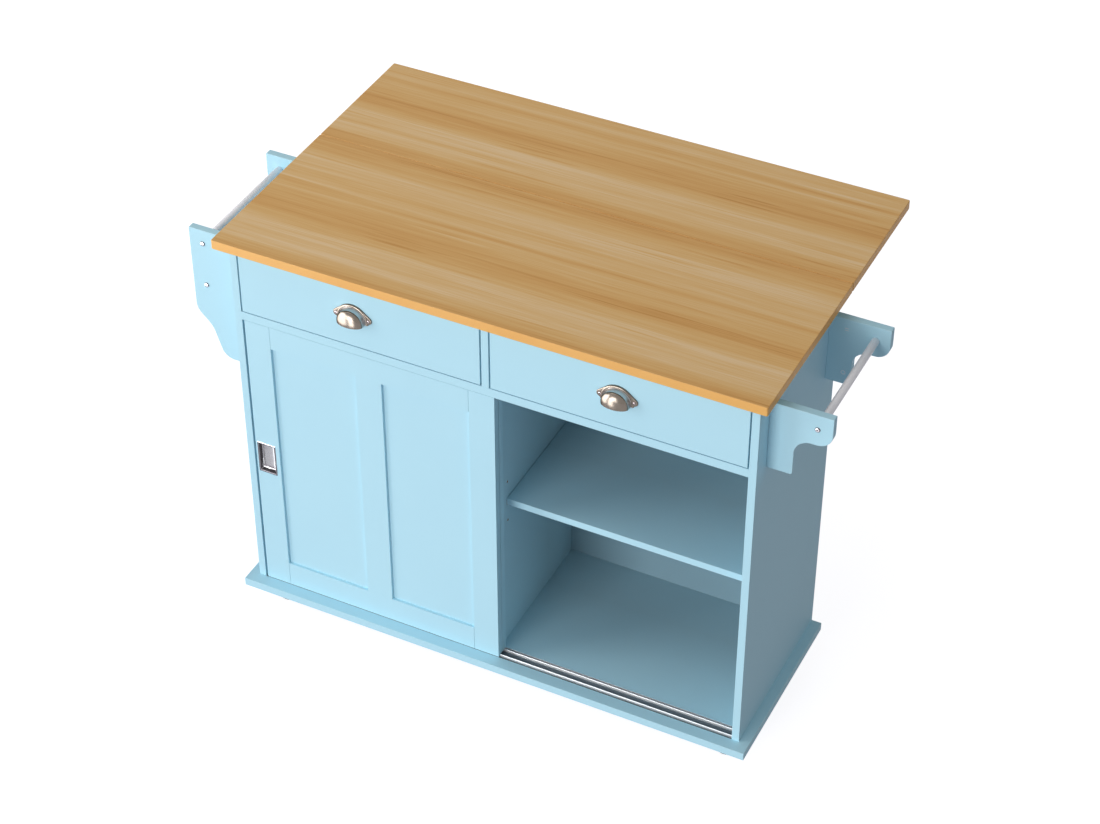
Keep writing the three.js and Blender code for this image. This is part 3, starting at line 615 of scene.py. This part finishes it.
# ---- Casters ------------------------------------------------------------------------
# Each has a pressed steel fork on a riveted kingpin, and a black nylon wheel on a bolt.
# The front pair have a brake pedal.

fork_easing = 0.35 * mm
axle_nut = (9 * mm, 2.5 * mm)
nut_sunk = 1.5 * mm
flats_to_corners = 1.732
spokes = 6
pedal_ribs = 4
first_rib = 2.5 * mm
rib_pitch = 2.6 * mm


nylon = grained_finish(
    "black_nylon", (rgb(30, 31, 33), rgb(44, 45, 47)), cloud=(60, 60, 60),
    grain=(1200, 1200, 1200), relief=0.02 * mm, rough=(0.42, 0.18), detail=4)


def hexagon(at, out, across, height):
    """A nut or a bolt head on the face at the point."""
    nut = bmesh.new()
    radius = across / flats_to_corners
    bmesh.ops.create_cone(nut, cap_ends=True, segments=6, radius1=radius, radius2=radius,
                          depth=height)
    bmesh.ops.translate(nut, verts=nut.verts, vec=(0, 0, height / 2))
    ease(nut, 0.3 * mm)
    return moved(nut, Matrix.Translation(at) @ turn_to(out))


def caster_fork(name):
    node = name + "_fork"
    low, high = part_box(node)
    wheel = joint_at[name + "_roll"]
    fork = ease(merged_copy(node), fork_easing)
    for y, out in ((low.y + nut_sunk, -1), (high.y - nut_sunk, 1)):
        poured(fork, hexagon((wheel.x, y, wheel.z), (0, out, 0), *axle_nut))
    return fork


def caster_wheel(name):
    """A solid wheel with a dished disc, a ribbed hub and a rounded tread."""
    centre = joint_at[name + "_roll"]
    low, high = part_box(name + "_wheel")
    radius, half = (high.z - low.z) / 2, (high.y - low.y) / 2
    side = [(4.4 * mm, half), (9 * mm, half), (9.5 * mm, half - 0.5 * mm),
            (10.5 * mm, half - 2.5 * mm), (17.6 * mm, half - 2.5 * mm),
            (18.6 * mm, half - 1 * mm), (19.4 * mm, half - 0.5 * mm),
            (radius - 2.4 * mm, half - 0.6 * mm), (radius - 0.9 * mm, half - 1.4 * mm),
            (radius - 0.2 * mm, half - 3 * mm), (radius, half - 5.5 * mm)]
    other = [(r, -along) for r, along in side]
    groove = [(radius, 1.2 * mm), (radius - 0.6 * mm, 0.6 * mm),
              (radius - 0.6 * mm, -0.6 * mm), (radius, -1.2 * mm)]
    wheel = turned([*side, *groove, *reversed(other), side[0]], (0, 1, 0), centre, steps=64)
    for spoke in range(spokes):
        rib = slab((10 * mm, -half + 2 * mm, -1 * mm), (18.5 * mm, half - 2 * mm, 1 * mm))
        turn = Matrix.Translation(centre) @ Matrix.Rotation(math.tau * spoke / spokes, 4, "Y")
        poured(wheel, moved(rib, turn))
    return wheel


def brake_pedal(name):
    """The rocking pedal, with ribs across its toe for the foot."""
    low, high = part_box(name + "_brake")
    pedal = ease(merged_copy(name + "_brake"), 0.5 * mm)
    inward = 1 if joint_at[name + "_roll"].x < 0 else -1
    toe = high.x if inward > 0 else low.x
    rise = joint_at[name + "_brake_hinge"].z + 0.4 * mm
    for step in range(pedal_ribs):
        x = toe - inward * (first_rib + rib_pitch * step)
        rib = slab((x - 0.6 * mm, low.y + 2 * mm, rise - 0.5 * mm),
                   (x + 0.6 * mm, high.y - 2 * mm, rise + 0.7 * mm))
        poured(pedal, ease(rib, 0.3 * mm))
    return pedal


for corner in corners:
    name = f"caster_{corner}"
    fork, wheel = name + "_fork", name + "_wheel"
    piece(fork + "_steel", caster_fork(name), zinc, fork, "zinc_steel", fork)
    piece(name + "_tyre", caster_wheel(name), nylon, wheel, "black_nylon", wheel)
for name in ("caster_front_left", "caster_front_right"):
    brake = name + "_brake"
    piece(name + "_pedal", brake_pedal(name), nylon, brake, "black_nylon", brake)

# ---- Door tracks --------------------------------------------------------------------
# Two rails in an extruded aluminium tray, let into the base board, carry the doors. A
# channelled strip of the same metal, under the deck, guides their heads.

crest_round = 0.85 * mm
track_easing = 0.2 * mm
bed_depth = 4 * mm


def aluminium_finish():
    tree = Tree("drawn_aluminium")
    cloud = tree.stretched((9, 40, 40), detail=3)
    drawn = tree.stretched((6, 2500, 2500), detail=3)
    colour = tree.mix(cloud, rgb(244, 245, 247), rgb(252, 252, 253))
    # Faces deep between the rails are darkened: painted shade.
    bed = tree.marked("bed")
    bed_painted_shade = tree.mix(bed, colour, rgb(92, 104, 112))
    roughness = 0.4 + drawn * 0.1 + bed * 0.2
    return tree.surface(bed_painted_shade, roughness, tree.bump(drawn, 0.01 * mm), metallic=0.55)


def track_metal(node):
    """The extrusion; what lies deep between its rails carries painted shade."""
    low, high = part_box(node)
    mesh = merged_copy(node)
    if node == "bottom_track":
        crests = [edge for edge in mesh.edges
                  if all(vert.co.z > high.z - 0.1 * mm for vert in edge.verts)]
        rounded(mesh, crests, crest_round, segments=5, clamp=True)
    ease(mesh, track_easing)
    bed = face_mark(mesh, "bed")
    mesh.normal_update()
    for face in mesh.faces:
        deep = face.calc_center_median().z < high.z - bed_depth
        if deep and face.normal.z > -0.5 and abs(face.normal.y) < 0.9:
            face[bed] = 1.0
    return mesh


aluminium = aluminium_finish()
for track in ("bottom_track", "top_track"):
    piece(track + "_metal", track_metal(track), aluminium, "cabinet", "track_aluminium", track)

# ---- Shelves ------------------------------------------------------------------------
# A loose painted board on each side stands on four angle supports, whose pins are pushed
# into drilled holes.

shelf_thick = 15 * mm
shelf_gap = 1.1 * mm
support_width = 10 * mm
support_ledge = 9 * mm
support_rise = 10 * mm
support_sheet = 1.0 * mm
support_easing = 0.3 * mm
support_from_front = 5.5 * mm
support_from_back = 35 * mm
pin_radius = 2.5 * mm
pin_rise = 4 * mm
pin_length = 6 * mm


def shelf_support(wall, out, y, foot):
    """A bent steel angle, ledge, upright and pin; out is the way from the shelf to the wall."""
    inner = wall - out * shelf_gap
    near, far = inner - out * support_ledge, inner + out * support_sheet
    front, back = y - support_width / 2, y + support_width / 2
    under = foot - support_sheet
    ledge = slab((min(near, far), front, under), (max(near, far), back, foot))
    upright = slab((min(inner, far), front, under), (max(inner, far), back, foot + support_rise))
    ease(ledge, support_easing)
    poured(ledge, ease(upright, support_easing))
    tip = shelf_gap + pin_length
    pin = [(0, 0), (pin_radius, 0), (pin_radius, tip - 1 * mm), (pin_radius - 0.8 * mm, tip),
           (0, tip)]
    return poured(ledge, turned(pin, (out, 0, 0), (inner, y, foot + pin_rise), steps=24))


def shelf(node, side, divider, wall):
    """The board lies on the side of the divider that is given as -1 or 1."""
    low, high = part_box(node)
    foot = high.z - shelf_thick
    ends = sorted([divider + side * shelf_gap, wall - side * shelf_gap])
    board = slab((ends[0], low.y, foot), (ends[1], high.y, high.z))
    board = inside_painted_shade(ease(board, board_easing))
    piece(node + "_board", board, paint, "cabinet", "blue_paint", node)
    supports = bmesh.new()
    for face, out in ((divider, -side), (wall, side)):
        for y in (high.y - support_from_back, low.y + support_from_front):
            poured(supports, shelf_support(face, out, y, foot))
    piece(node + "_supports", supports, zinc, "cabinet", "zinc_steel")


divider_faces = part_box("centre_divider")
shelf("shelf_left", -1, divider_faces[0].x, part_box("side_panel_left")[1].x)
shelf("shelf_right", 1, divider_faces[1].x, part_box("side_panel_right")[0].x)

# ---- Doors --------------------------------------------------------------------------
# Two by-pass doors, each a 9 mm board with stiles and rails glued on its face. The stiles
# run the full height, so fine joint lines show where the rails meet them.

stile_width = 53 * mm
middle_width = 55 * mm
head_rail = 51 * mm
foot_rail = 56 * mm
member_easing = 0.1 * mm
joint_line = 0.5 * mm
pull_frame = 3.2 * mm
pull_proud = 0.75 * mm
pull_corner = 1.6 * mm
pull_sheet = 0.7 * mm
pull_stripe = (0.70, 0.80)


def pierced(mesh, low, high):
    """Cuts an oblong hole along Y through a slab."""
    scored(mesh, low, high, (0, 2))
    window = [face for face in mesh.faces
              if abs(face.normal.y) > 0.9 and inside(face, low, high, (0, 2))]
    bmesh.ops.delete(mesh, geom=window, context="FACES")
    bmesh.ops.bridge_loops(mesh, edges=[edge for edge in mesh.edges if edge.is_boundary])
    return mesh


def door_members(name):
    """The stiles and rails as (part name, low corner, high corner)."""
    low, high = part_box(name + "_frame")
    centre = (low.x + high.x) / 2
    rails_x = (low.x + stile_width + joint_line, high.x - stile_width - joint_line)
    mid_z = (low.z + foot_rail, high.z - head_rail)
    return [
        ("left_stile", low, (low.x + stile_width, high.y, high.z)),
        ("right_stile", (high.x - stile_width, low.y, low.z), high),
        ("head_rail", (rails_x[0], low.y, mid_z[1]), (rails_x[1], high.y, high.z)),
        ("foot_rail", (rails_x[0], low.y, low.z), (rails_x[1], high.y, mid_z[0])),
        ("middle_stile", (centre - middle_width / 2, low.y, mid_z[0]),
         (centre + middle_width / 2, high.y, mid_z[1])),
    ]


def flush_pull(node):
    """A pressed pull: a low raised frame round a pocket with steep walls."""
    low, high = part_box(node)
    face_y = low.y + pull_proud
    middle, half = (low + high) / 2, (high - low) / 2
    place = Matrix.Translation((middle.x, face_y, middle.z)) @ Matrix.Rotation(math.pi / 2, 4, "X")
    mesh = bmesh.new()
    bmesh.ops.create_grid(mesh, x_segments=1, y_segments=1, size=1,
                          matrix=place @ Matrix.Diagonal((half.x, half.z, 1, 1)))
    mesh.normal_update()
    pocket = mesh.faces[:]
    # Each ring's width and how far it rises or sinks, in mm, from the rim to the bottom.
    press = [(0.3, 0.5), (0.4, 0.2), (2.1, 0), (0.4, -0.2), (0.4, -0.8),
             (0.9, -7.2), (0.5, -1.0), (0.9, -0.6), (1.0, -0.1)]
    for width, depth in press:
        bmesh.ops.inset_region(mesh, faces=pocket, thickness=width * mm, depth=depth * mm,
                               use_even_offset=True, use_boundary=True)
    corners = [edge for edge in mesh.edges
               if min(abs((edge.verts[0].co - edge.verts[1].co)[i]) for i in (0, 2)) > 0.05 * mm]
    rounded(mesh, corners, pull_corner, segments=5)
    # The faces are split where a painted reflection or highlight starts or ends, and marked as
    # pale inside it.
    splits = [((low.x + (high.x - low.x) * share, 0, 0), (1, 0, 0))
              for share in (0.50, 0.62, *pull_stripe)]
    splits.append(((0, 0, low.z + (high.z - low.z) * 0.36), (0, 0, 1)))
    for at, across in splits:
        bmesh.ops.bisect_plane(mesh, geom=everything(mesh), plane_co=at, plane_no=across)
    pale = face_mark(mesh, "pale")
    mesh.normal_update()
    for face in mesh.faces:
        spot = face.calc_center_median()
        across = (spot.x - low.x) / (high.x - low.x)
        if face.normal.z > 0.3 and spot.z > middle.z:
            face[pale] = 1.0
        elif spot.y > face_y + 7 * mm and face.normal.y < -0.8:
            striped = pull_stripe[0] < across < pull_stripe[1]
            face[pale] = 1.0 if striped else 0.3 + 0.5 * max(across - 0.5, 0)
        elif spot.y > face_y + 6 * mm and spot.z < middle.z - 0.28 * half.z:
            corner = (face.normal.x > 0.2, face.normal.z > 0.2 and across < 0.5)
            face[pale] = 0.9 if any(corner) and face.normal.y < -0.3 else 0.1
        elif face.normal.x > 0.6:
            face[pale] = 0.12
    return mesh


def walled(made, thick):
    """Gives an open shell its thickness, behind its face."""
    wall = made.modifiers.new("wall", "SOLIDIFY")
    wall.thickness, wall.offset = thick, -1
    made.data.shade_smooth()
    made.data.set_sharp_from_angle(angle=math.radians(40))
    return made


for door in ("front_door", "rear_door"):
    pull_low, pull_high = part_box(door + "_pull")
    inset = Vector((pull_frame, 0, pull_frame))
    hole_low, hole_high = pull_low + inset, pull_high - inset
    for part, low, high in door_members(door):
        member = slab(low, high)
        if low[0] < pull_low.x and pull_high.x < high[0]:
            pierced(member, hole_low, hole_high)
        piece(f"{door}_{part}", ease(member, member_easing), paint, door, "blue_paint",
              door + "_frame")
    piece(door + "_board", ease(merged_copy(door + "_panel"), panel_easing), paint, door,
          "blue_paint", door + "_panel")
    walled(piece(door + "_pull_pressing", flush_pull(door + "_pull"), satin, door,
                 "brushed_nickel", door + "_pull"), pull_sheet)

# ---- Drawers ------------------------------------------------------------------------
# A painted front on a white melamine box, with a thin bottom let into its sides. Each box
# runs on two ball-bearing slides of zinc-plated steel.

front_easing = 0.5 * mm
front_lift = 0.4 * mm
box_easing = 0.35 * mm
slide_easing = 0.25 * mm
balls_in_row = 16
ball_radius = 1.1 * mm
ball_inset = 2.2 * mm

for drawer in ("left_drawer", "right_drawer"):
    low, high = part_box(drawer + "_front")
    front = ease(slab((low.x, low.y, low.z + front_lift), high), front_easing, segments=3)
    piece(drawer + "_front_board", front, paint, drawer, "blue_paint", drawer + "_front")
    for part in ("box", "bottom"):
        node = f"{drawer}_{part}"
        piece(node + "_board", ease(merged_copy(node), box_easing), melamine, drawer,
              "white_board", node)


def ball_row(x, low, high):
    """The balls of a slide, between its two channels."""
    row = bmesh.new()
    for i in range(balls_in_row):
        y = low.y + (high.y - low.y) * (i + 0.5) / balls_in_row
        for z in (low.z + ball_inset, high.z - ball_inset):
            bmesh.ops.create_icosphere(row, subdivisions=1, radius=ball_radius,
                                       matrix=Matrix.Translation((x, y, z)))
    for face in row.faces:
        face.smooth = True
    return row


for drawer in ("left_drawer", "right_drawer"):
    for side in ("left", "right"):
        fixed, moving = f"{drawer}_channel_{side}", f"{drawer}_slide_{side}"
        piece(fixed + "_steel", ease(merged_copy(fixed), slide_easing), zinc, "cabinet",
              "zinc_steel", fixed)
        low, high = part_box(moving)
        x = (low.x + high.x) / 2
        runner = poured(ease(merged_copy(moving), slide_easing), ball_row(x, low, high))
        piece(moving + "_steel", runner, zinc, drawer, "zinc_steel", moving)

# ---- Cup pulls ----------------------------------------------------------------------
# A pressed half dome, open below, rises from a hollow ring inside an arched flange, which
# has a screwed ear at each side.

dome_radius = 26.8 * mm
dome_start = 12 * mm
dome_skirt = 4.5 * mm
cup_wall = 1.3 * mm
neck_round = 1.5 * mm
crest_width = 3 * mm
ear_radius = 8 * mm
ear_rise = 11 * mm
ear_thick = 3 * mm
ear_root = 3.5 * mm
ear_lean = math.radians(55)
ear_screw = (3.2 * mm, 1.6 * mm)


def arc(centre, radii, start, stop, steps):
    """Points of an oval arc; angles in degrees."""
    turns = [math.radians(start + (stop - start) * i / steps) for i in range(steps + 1)]
    return [(centre[0] + radii[0] * math.cos(turn), centre[1] + radii[1] * math.sin(turn))
            for turn in turns]


def hull_plate(circles, front, back):
    """A flat plate round several circles of (x, z, radius)."""
    plate = bmesh.new()
    for x, z, radius in circles:
        for y in (front, back):
            turn = Matrix.Translation((x, y, z)) @ Matrix.Rotation(math.pi / 2, 4, "X")
            bmesh.ops.create_circle(plate, segments=40, radius=radius, matrix=turn)
    hull = bmesh.ops.convex_hull(plate, input=plate.verts)
    bmesh.ops.delete(plate, geom=only_verts(hull["geom_interior"]), context="VERTS")
    bmesh.ops.dissolve_limit(
        plate, angle_limit=math.radians(0.5), verts=plate.verts, edges=plate.edges)
    return ease(plate, 1.4 * mm, segments=5, angle=60)


def cup_pull(node):
    low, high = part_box(node)
    x, back, reach = (low.x + high.x) / 2, high.y, high.y - low.y
    centre = Vector((x, back, low.z + dome_skirt))
    outer = high.z - centre.z
    rise, bore = reach - dome_start, dome_radius - cup_wall
    dome = arc((0, dome_start), (dome_radius, rise), 90, 0, 16)
    neck = arc((dome_radius + neck_round, 11 * mm), (neck_round, 7.6 * mm), 180, 270, 8)
    crest = arc((outer - crest_width, 1.4 * mm), (crest_width, 2.8 * mm), 125, 0, 10)
    hollow = arc((0, dome_start), (bore, rise - cup_wall), 0, 90, 16)
    profile = [*dome, *neck, *crest, (outer, 0), (bore, 0), *hollow]
    cup = turned(profile, (0, -1, 0), centre, steps=96)
    # The hollow ring round the dome is marked pale: a painted reflection.
    pale = face_mark(cup, "pale")
    for face in cup.faces:
        spot = face.calc_center_median() - centre
        from_axis = math.hypot(spot.x, spot.z)
        if -spot.y > 3 * mm and dome_radius - 0.1 * mm < from_axis < outer - 4.5 * mm:
            face[pale] = 0.6
    cut = bmesh.ops.bisect_plane(
        cup, geom=everything(cup), plane_co=(0, 0, low.z + mm), plane_no=(0, 0, -1),
        clear_outer=True)
    rim = [part for part in cut["geom_cut"] if isinstance(part, bmesh.types.BMEdge)]
    bmesh.ops.holes_fill(cup, edges=rim)
    for side in (-1, 1):
        ear = (x + side * ((high.x - low.x) / 2 - ear_radius), low.z + ear_rise, ear_radius)
        root = (x + side * (outer - ear_root) * math.cos(ear_lean),
                centre.z + (outer - ear_root) * math.sin(ear_lean), ear_root)
        poured(cup, hull_plate((ear, root), back - ear_thick, back))
        spot = (ear[0] + side * mm, back - ear_thick, ear[1])
        poured(cup, screw_head(spot, (0, -1, 0), *ear_screw, finish=2))
    return cup


for drawer in ("left_drawer", "right_drawer"):
    pull = piece(drawer + "_cup_pull", cup_pull(drawer + "_pull"), [nickel, recess, pink_nickel],
                 drawer, "brushed_nickel", drawer + "_pull")
    pull.data.shade_smooth()
    pull.data.set_sharp_from_angle(angle=math.radians(35))

# ---- Worktop and drop leaf ----------------------------------------------------------
# Two boards of one wood-look laminate, with its grain along the length. The edges carry a
# plainer, warmer band.

top_easing = 1.0 * mm
corner_round = 3 * mm
print_repeat = 402 * mm
print_start = 344 * mm


def laminate_finish():
    """Bands, streaks and fine lines give one number, which the tones of the print follow."""
    tree = Tree("wood_look_laminate")
    x, y, z = tree.axes()
    wander = tree.stretched((1.3, 4, 0.01), detail=3)
    across = (y + print_start + (wander - 0.5) * 0.026) % print_repeat / print_repeat
    bands = tree.add("ShaderNodeValToRGB", {"stops": [
        (at, (tone, tone, tone)) for at, tone in (
            (0.00, 0.32), (0.02, 0.37), (0.06, 0.54), (0.10, 0.86), (0.135, 0.84), (0.165, 0.72),
            (0.21, 0.84), (0.25, 0.92), (0.28, 0.66), (0.32, 0.53), (0.355, 0.36), (0.38, 0.24),
            (0.39, 0.36), (0.405, 0.20), (0.42, 0.36), (0.47, 0.54), (0.52, 0.60), (0.55, 0.68),
            (0.58, 0.42), (0.61, 0.80), (0.655, 0.63), (0.70, 0.70), (0.80, 0.88), (0.84, 0.66),
            (0.88, 0.54), (0.92, 0.36), (0.95, 0.28), (1.00, 0.32))]}, {"Fac": across})
    streaks = tree.stretched((1.8, 75, 1), detail=5, roughness=0.7)
    fine = tree.stretched((5, 420, 1), detail=4, roughness=0.6)
    veins = tree.add("ShaderNodeMapRange", {}, {
        "Value": tree.stretched((2.6, 105, 1), detail=3, roughness=0.6), "From Min": 0.60,
        "From Max": 0.70, "To Min": 0.0, "To Max": 0.34,
    })
    tone = bands + (streaks - 0.5) * 1.1 + (fine - 0.5) * 0.8 - veins
    print_tones = tree.add("ShaderNodeValToRGB", {"stops": [
        (0.00, rgb(206, 151, 84)[:3]), (0.29, rgb(222, 171, 104)[:3]),
        (0.57, rgb(229, 185, 121)[:3]), (0.86, rgb(235, 198, 144)[:3]),
        (1.00, rgb(239, 206, 160)[:3]),
    ]}, {"Fac": tone})
    band = tree.mix(fine, rgb(226, 166, 88), rgb(240, 188, 112))
    banded = tree.mix(tree.marked("band"), print_tones, band)
    roughness = 0.38 + fine * 0.12
    return tree.surface(banded, roughness, tree.bump(fine, 0.015 * mm), specular_ior_level=0.15)


laminate = laminate_finish()


def worktop(node):
    board = slab(*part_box(node))
    round_corners(board, corner_round, segments=6)
    board.normal_update()
    band = face_mark(board, "band")
    for face in board.faces:
        face[band] = 0.0 if abs(face.normal.z) > 0.5 else 1.0
    return ease(board, top_easing, segments=3, angle=60)


piece("countertop_board", worktop("countertop"), laminate, "cabinet", "wood_top", "countertop")
piece("drop_leaf_board", worktop("drop_leaf"), laminate, "leaf", "wood_top", "drop_leaf")

# ---- Folding brackets ---------------------------------------------------------------
# A bent steel leg on the back, an arm under the leaf and a brace with a roller, riveted
# together on each side. Leg and arm are screwed to the boards that they lie on.

sheet_easing = 0.2 * mm
brace_easing = 0.3 * mm
leg_screws = (25 * mm, 90 * mm, 185 * mm)
leg_screw_head = (3.8 * mm, 0.4 * mm)
arm_screws = (0.2, 0.55, 0.92)
arm_screw_head = (3.4 * mm, 1.6 * mm)
sheet = 1.5 * mm
rivet_sunk = 0.8 * mm
pin_rivet = (4.5 * mm, 1.4 * mm)
roller_rivet = (2.2 * mm, 0.8 * mm)
roller_radius = 3.5 * mm


def rivet(at, out, radius, height):
    """A domed rivet head on the face at the point."""
    return turned([*arc((0, 0), (radius, height), 90, 0, 6), (0, 0)], out, at, steps=24)


for side in ("left", "right"):
    leg, arm, brace = (f"leaf_bracket_{part}_{side}" for part in ("leg", "arm", "brace"))
    low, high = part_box(leg)
    leg_mesh = ease(merged_copy(leg), sheet_easing)
    for pin in (joint_at["leaf_hinge"], joint_at[f"brace_hinge_{side}"]):
        for x, out in ((low.x + rivet_sunk, -1), (high.x - rivet_sunk, 1)):
            poured(leg_mesh, rivet((x, pin.y, pin.z), (out, 0, 0), *pin_rivet))
    middle = (low.x + high.x) / 2
    for drop in leg_screws:
        spot = (middle, low.y + sheet, high.z - drop)
        poured(leg_mesh, screw_head(spot, (0, 1, 0), *leg_screw_head))
    piece(leg + "_steel", leg_mesh, [zinc, recess], "cabinet", "zinc_steel", leg)
    low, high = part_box(arm)
    arm_mesh = ease(merged_copy(arm), sheet_easing)
    for share in arm_screws:
        spot = (middle, low.y + (high.y - low.y) * share, high.z - sheet)
        poured(arm_mesh, screw_head(spot, (0, 0, -1), *arm_screw_head))
    piece(arm + "_steel", arm_mesh, [zinc, recess], "leaf", "zinc_steel", arm)
    low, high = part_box(brace)
    brace_mesh = ease(merged_copy(brace), brace_easing)
    for x, out in ((low.x, -1), (high.x, 1)):
        spot = (x, high.y - roller_radius, high.z - roller_radius)
        poured(brace_mesh, rivet(spot, (out, 0, 0), *roller_rivet))
    piece(brace + "_steel", brace_mesh, zinc, f"brace_{side}", "zinc_steel", brace)

# ---- End racks ----------------------------------------------------------------------
# Painted shaped plates are fixed to the ends by cam fittings. Coated rods are held between
# them by a screw at each end.

rack_easing = 0.8 * mm


def shaped_plate(node, corners):
    """A board with the outline through the corners (x, z, length that its round cuts off)."""
    low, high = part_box(node)
    mesh = bmesh.new()
    points = [mesh.verts.new((x, low.y, z)) for x, z, cut in corners]
    mesh.faces.new(points)
    for point, (x, z, cut) in zip(points, corners):
        if cut:
            rounded(mesh, [point], cut, segments=16, affect="VERTICES")
    drawn = bmesh.ops.extrude_face_region(
        mesh, geom=mesh.faces[:], use_keep_orig=True)["geom"]
    bmesh.ops.translate(mesh, verts=only_verts(drawn), vec=(0, high.y - low.y, 0))
    bmesh.ops.recalc_face_normals(mesh, faces=mesh.faces)
    return ease(mesh, rack_easing)


def round_cut(radius, corner_angle):
    """How far from a corner its round starts, along each side."""
    return radius / math.tan(math.radians(corner_angle) / 2)


towel_foot, towel_step = 48.5 * mm, 65 * mm
for node in ("towel_rail_front_plate", "towel_rail_rear_plate"):
    low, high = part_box(node)
    step = high.z - towel_step
    plate = shaped_plate(node, [
        (low.x, low.z, 0), (low.x + towel_foot, low.z, 5 * mm),
        (low.x + towel_foot, step, 32 * mm), (high.x, step, 28 * mm),
        (high.x, high.z, 1.5 * mm), (low.x, high.z, 0),
    ])
    piece(node + "_board", plate, paint, "cabinet", "blue_paint", node)

spice_foot, spice_waist = 62 * mm, 84 * mm
spice_waist_drop, spice_shoulder_drop = 221.25 * mm, 188.5 * mm
for node in ("spice_rack_front_plate", "spice_rack_rear_plate"):
    low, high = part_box(node)
    side = high.x
    out, waist, foot = low.x, side - spice_waist, side - spice_foot
    shoulder_z, waist_z = high.z - spice_shoulder_drop, high.z - spice_waist_drop
    plate = shaped_plate(node, [
        (side, high.z, 0), (out, high.z, 1.5 * mm),
        (out, shoulder_z, round_cut(30 * mm, 135)), (waist, waist_z, round_cut(50 * mm, 153)),
        (foot, low.z, round_cut(26 * mm, 108)), (side, low.z, 0),
    ])
    piece(node + "_board", plate, paint, "cabinet", "blue_paint", node)


rod_coat = grained_finish(
    "satin_grey_coating", (rgb(238, 237, 241), rgb(245, 244, 248)), cloud=(30, 8, 30),
    grain=(1500, 1500, 1500), relief=0.01 * mm, rough=(0.46, 0.1), metallic=0.15)
rod_radius = 7.5 * mm
rod_easing = 0.5 * mm
rod_screw_radius = 5 * mm
rod_screw_height = 2.5 * mm

for node in ("spice_rack_upper_rod", "spice_rack_lower_rod", "towel_rail_rod"):
    low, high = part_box(node)
    x, z = (low.x + high.x) / 2, (low.z + high.z) / 2
    rack = "towel_rail" if node.startswith("towel") else "spice_rack"
    start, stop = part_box(rack + "_front_plate")[1].y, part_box(rack + "_rear_plate")[0].y
    long = stop - start
    profile = [(0, 0), (rod_radius - rod_easing, 0), (rod_radius, rod_easing),
               (rod_radius, long - rod_easing), (rod_radius - rod_easing, long), (0, long)]
    rod = turned(profile, (0, 1, 0), (x, start, z))
    piece(node + "_tube", rod, rod_coat, "cabinet", "rod_coat", node)
    heads = bmesh.new()
    # Chromed heads, with painted shade on their flanks in the darker satin finish.
    for y, out in ((low.y + rod_screw_height, -1), (high.y - rod_screw_height, 1)):
        poured(heads, screw_head((x, y, z), (0, out, 0), rod_screw_radius, rod_screw_height,
                                 cross=0.3, shaded_flank=2))
    piece(node + "_screws", heads, [chrome, recess, satin], "cabinet", "brushed_nickel")

# Cam fittings: the upper one shows its slot's two edges, the lower one its rim.
cam_x = 562 * mm
upper_cam_drop = 23 * mm
lower_cam_drop = 120 * mm
cam_proud = 0.2 * mm
cams = bmesh.new()
for rack, x in (("towel_rail", cam_x), ("spice_rack", -cam_x)):
    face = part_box(rack + "_rear_plate")[0].y
    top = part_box(rack + "_rear_plate")[1].z
    for side in (-2.2 * mm, 2.2 * mm):
        z = top - upper_cam_drop + side
        poured(cams, slab((x - 4 * mm, face - cam_proud, z - 0.6 * mm),
                          (x + 4 * mm, face, z + 0.6 * mm)))
    rim = [(3.4 * mm, 0), (3.4 * mm, cam_proud), (4.4 * mm, cam_proud), (4.4 * mm, 0)]
    ring = turned([*rim, rim[0]], (0, -1, 0), (x, face, top - lower_cam_drop), steps=24)
    poured(cams, ring)
piece("rack_cam_fittings", cams, rod_coat, "cabinet", "zinc_steel")

# ---- Back panel screws --------------------------------------------------------------
# The back is screwed from behind, in a row to the board under the drawers and in a column
# to the divider. The heads are chromed.

back_screw_head = (3.8 * mm, 1.5 * mm)
row_screws = (-450 * mm, -225 * mm, 225 * mm, 450 * mm)
column_screws = (180 * mm, 360 * mm, 540 * mm, 700 * mm)

back_screws = bmesh.new()
low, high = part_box("back_panel")
deck = (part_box("drawer_deck")[0].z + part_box("drawer_deck")[1].z) / 2
for x, z in [(x, deck) for x in row_screws] + [(0, z) for z in column_screws]:
    poured(back_screws, screw_head((x, high.y, z), (0, 1, 0), *back_screw_head))
piece("back_panel_screws", back_screws, [chrome, recess], "cabinet", "brushed_nickel")
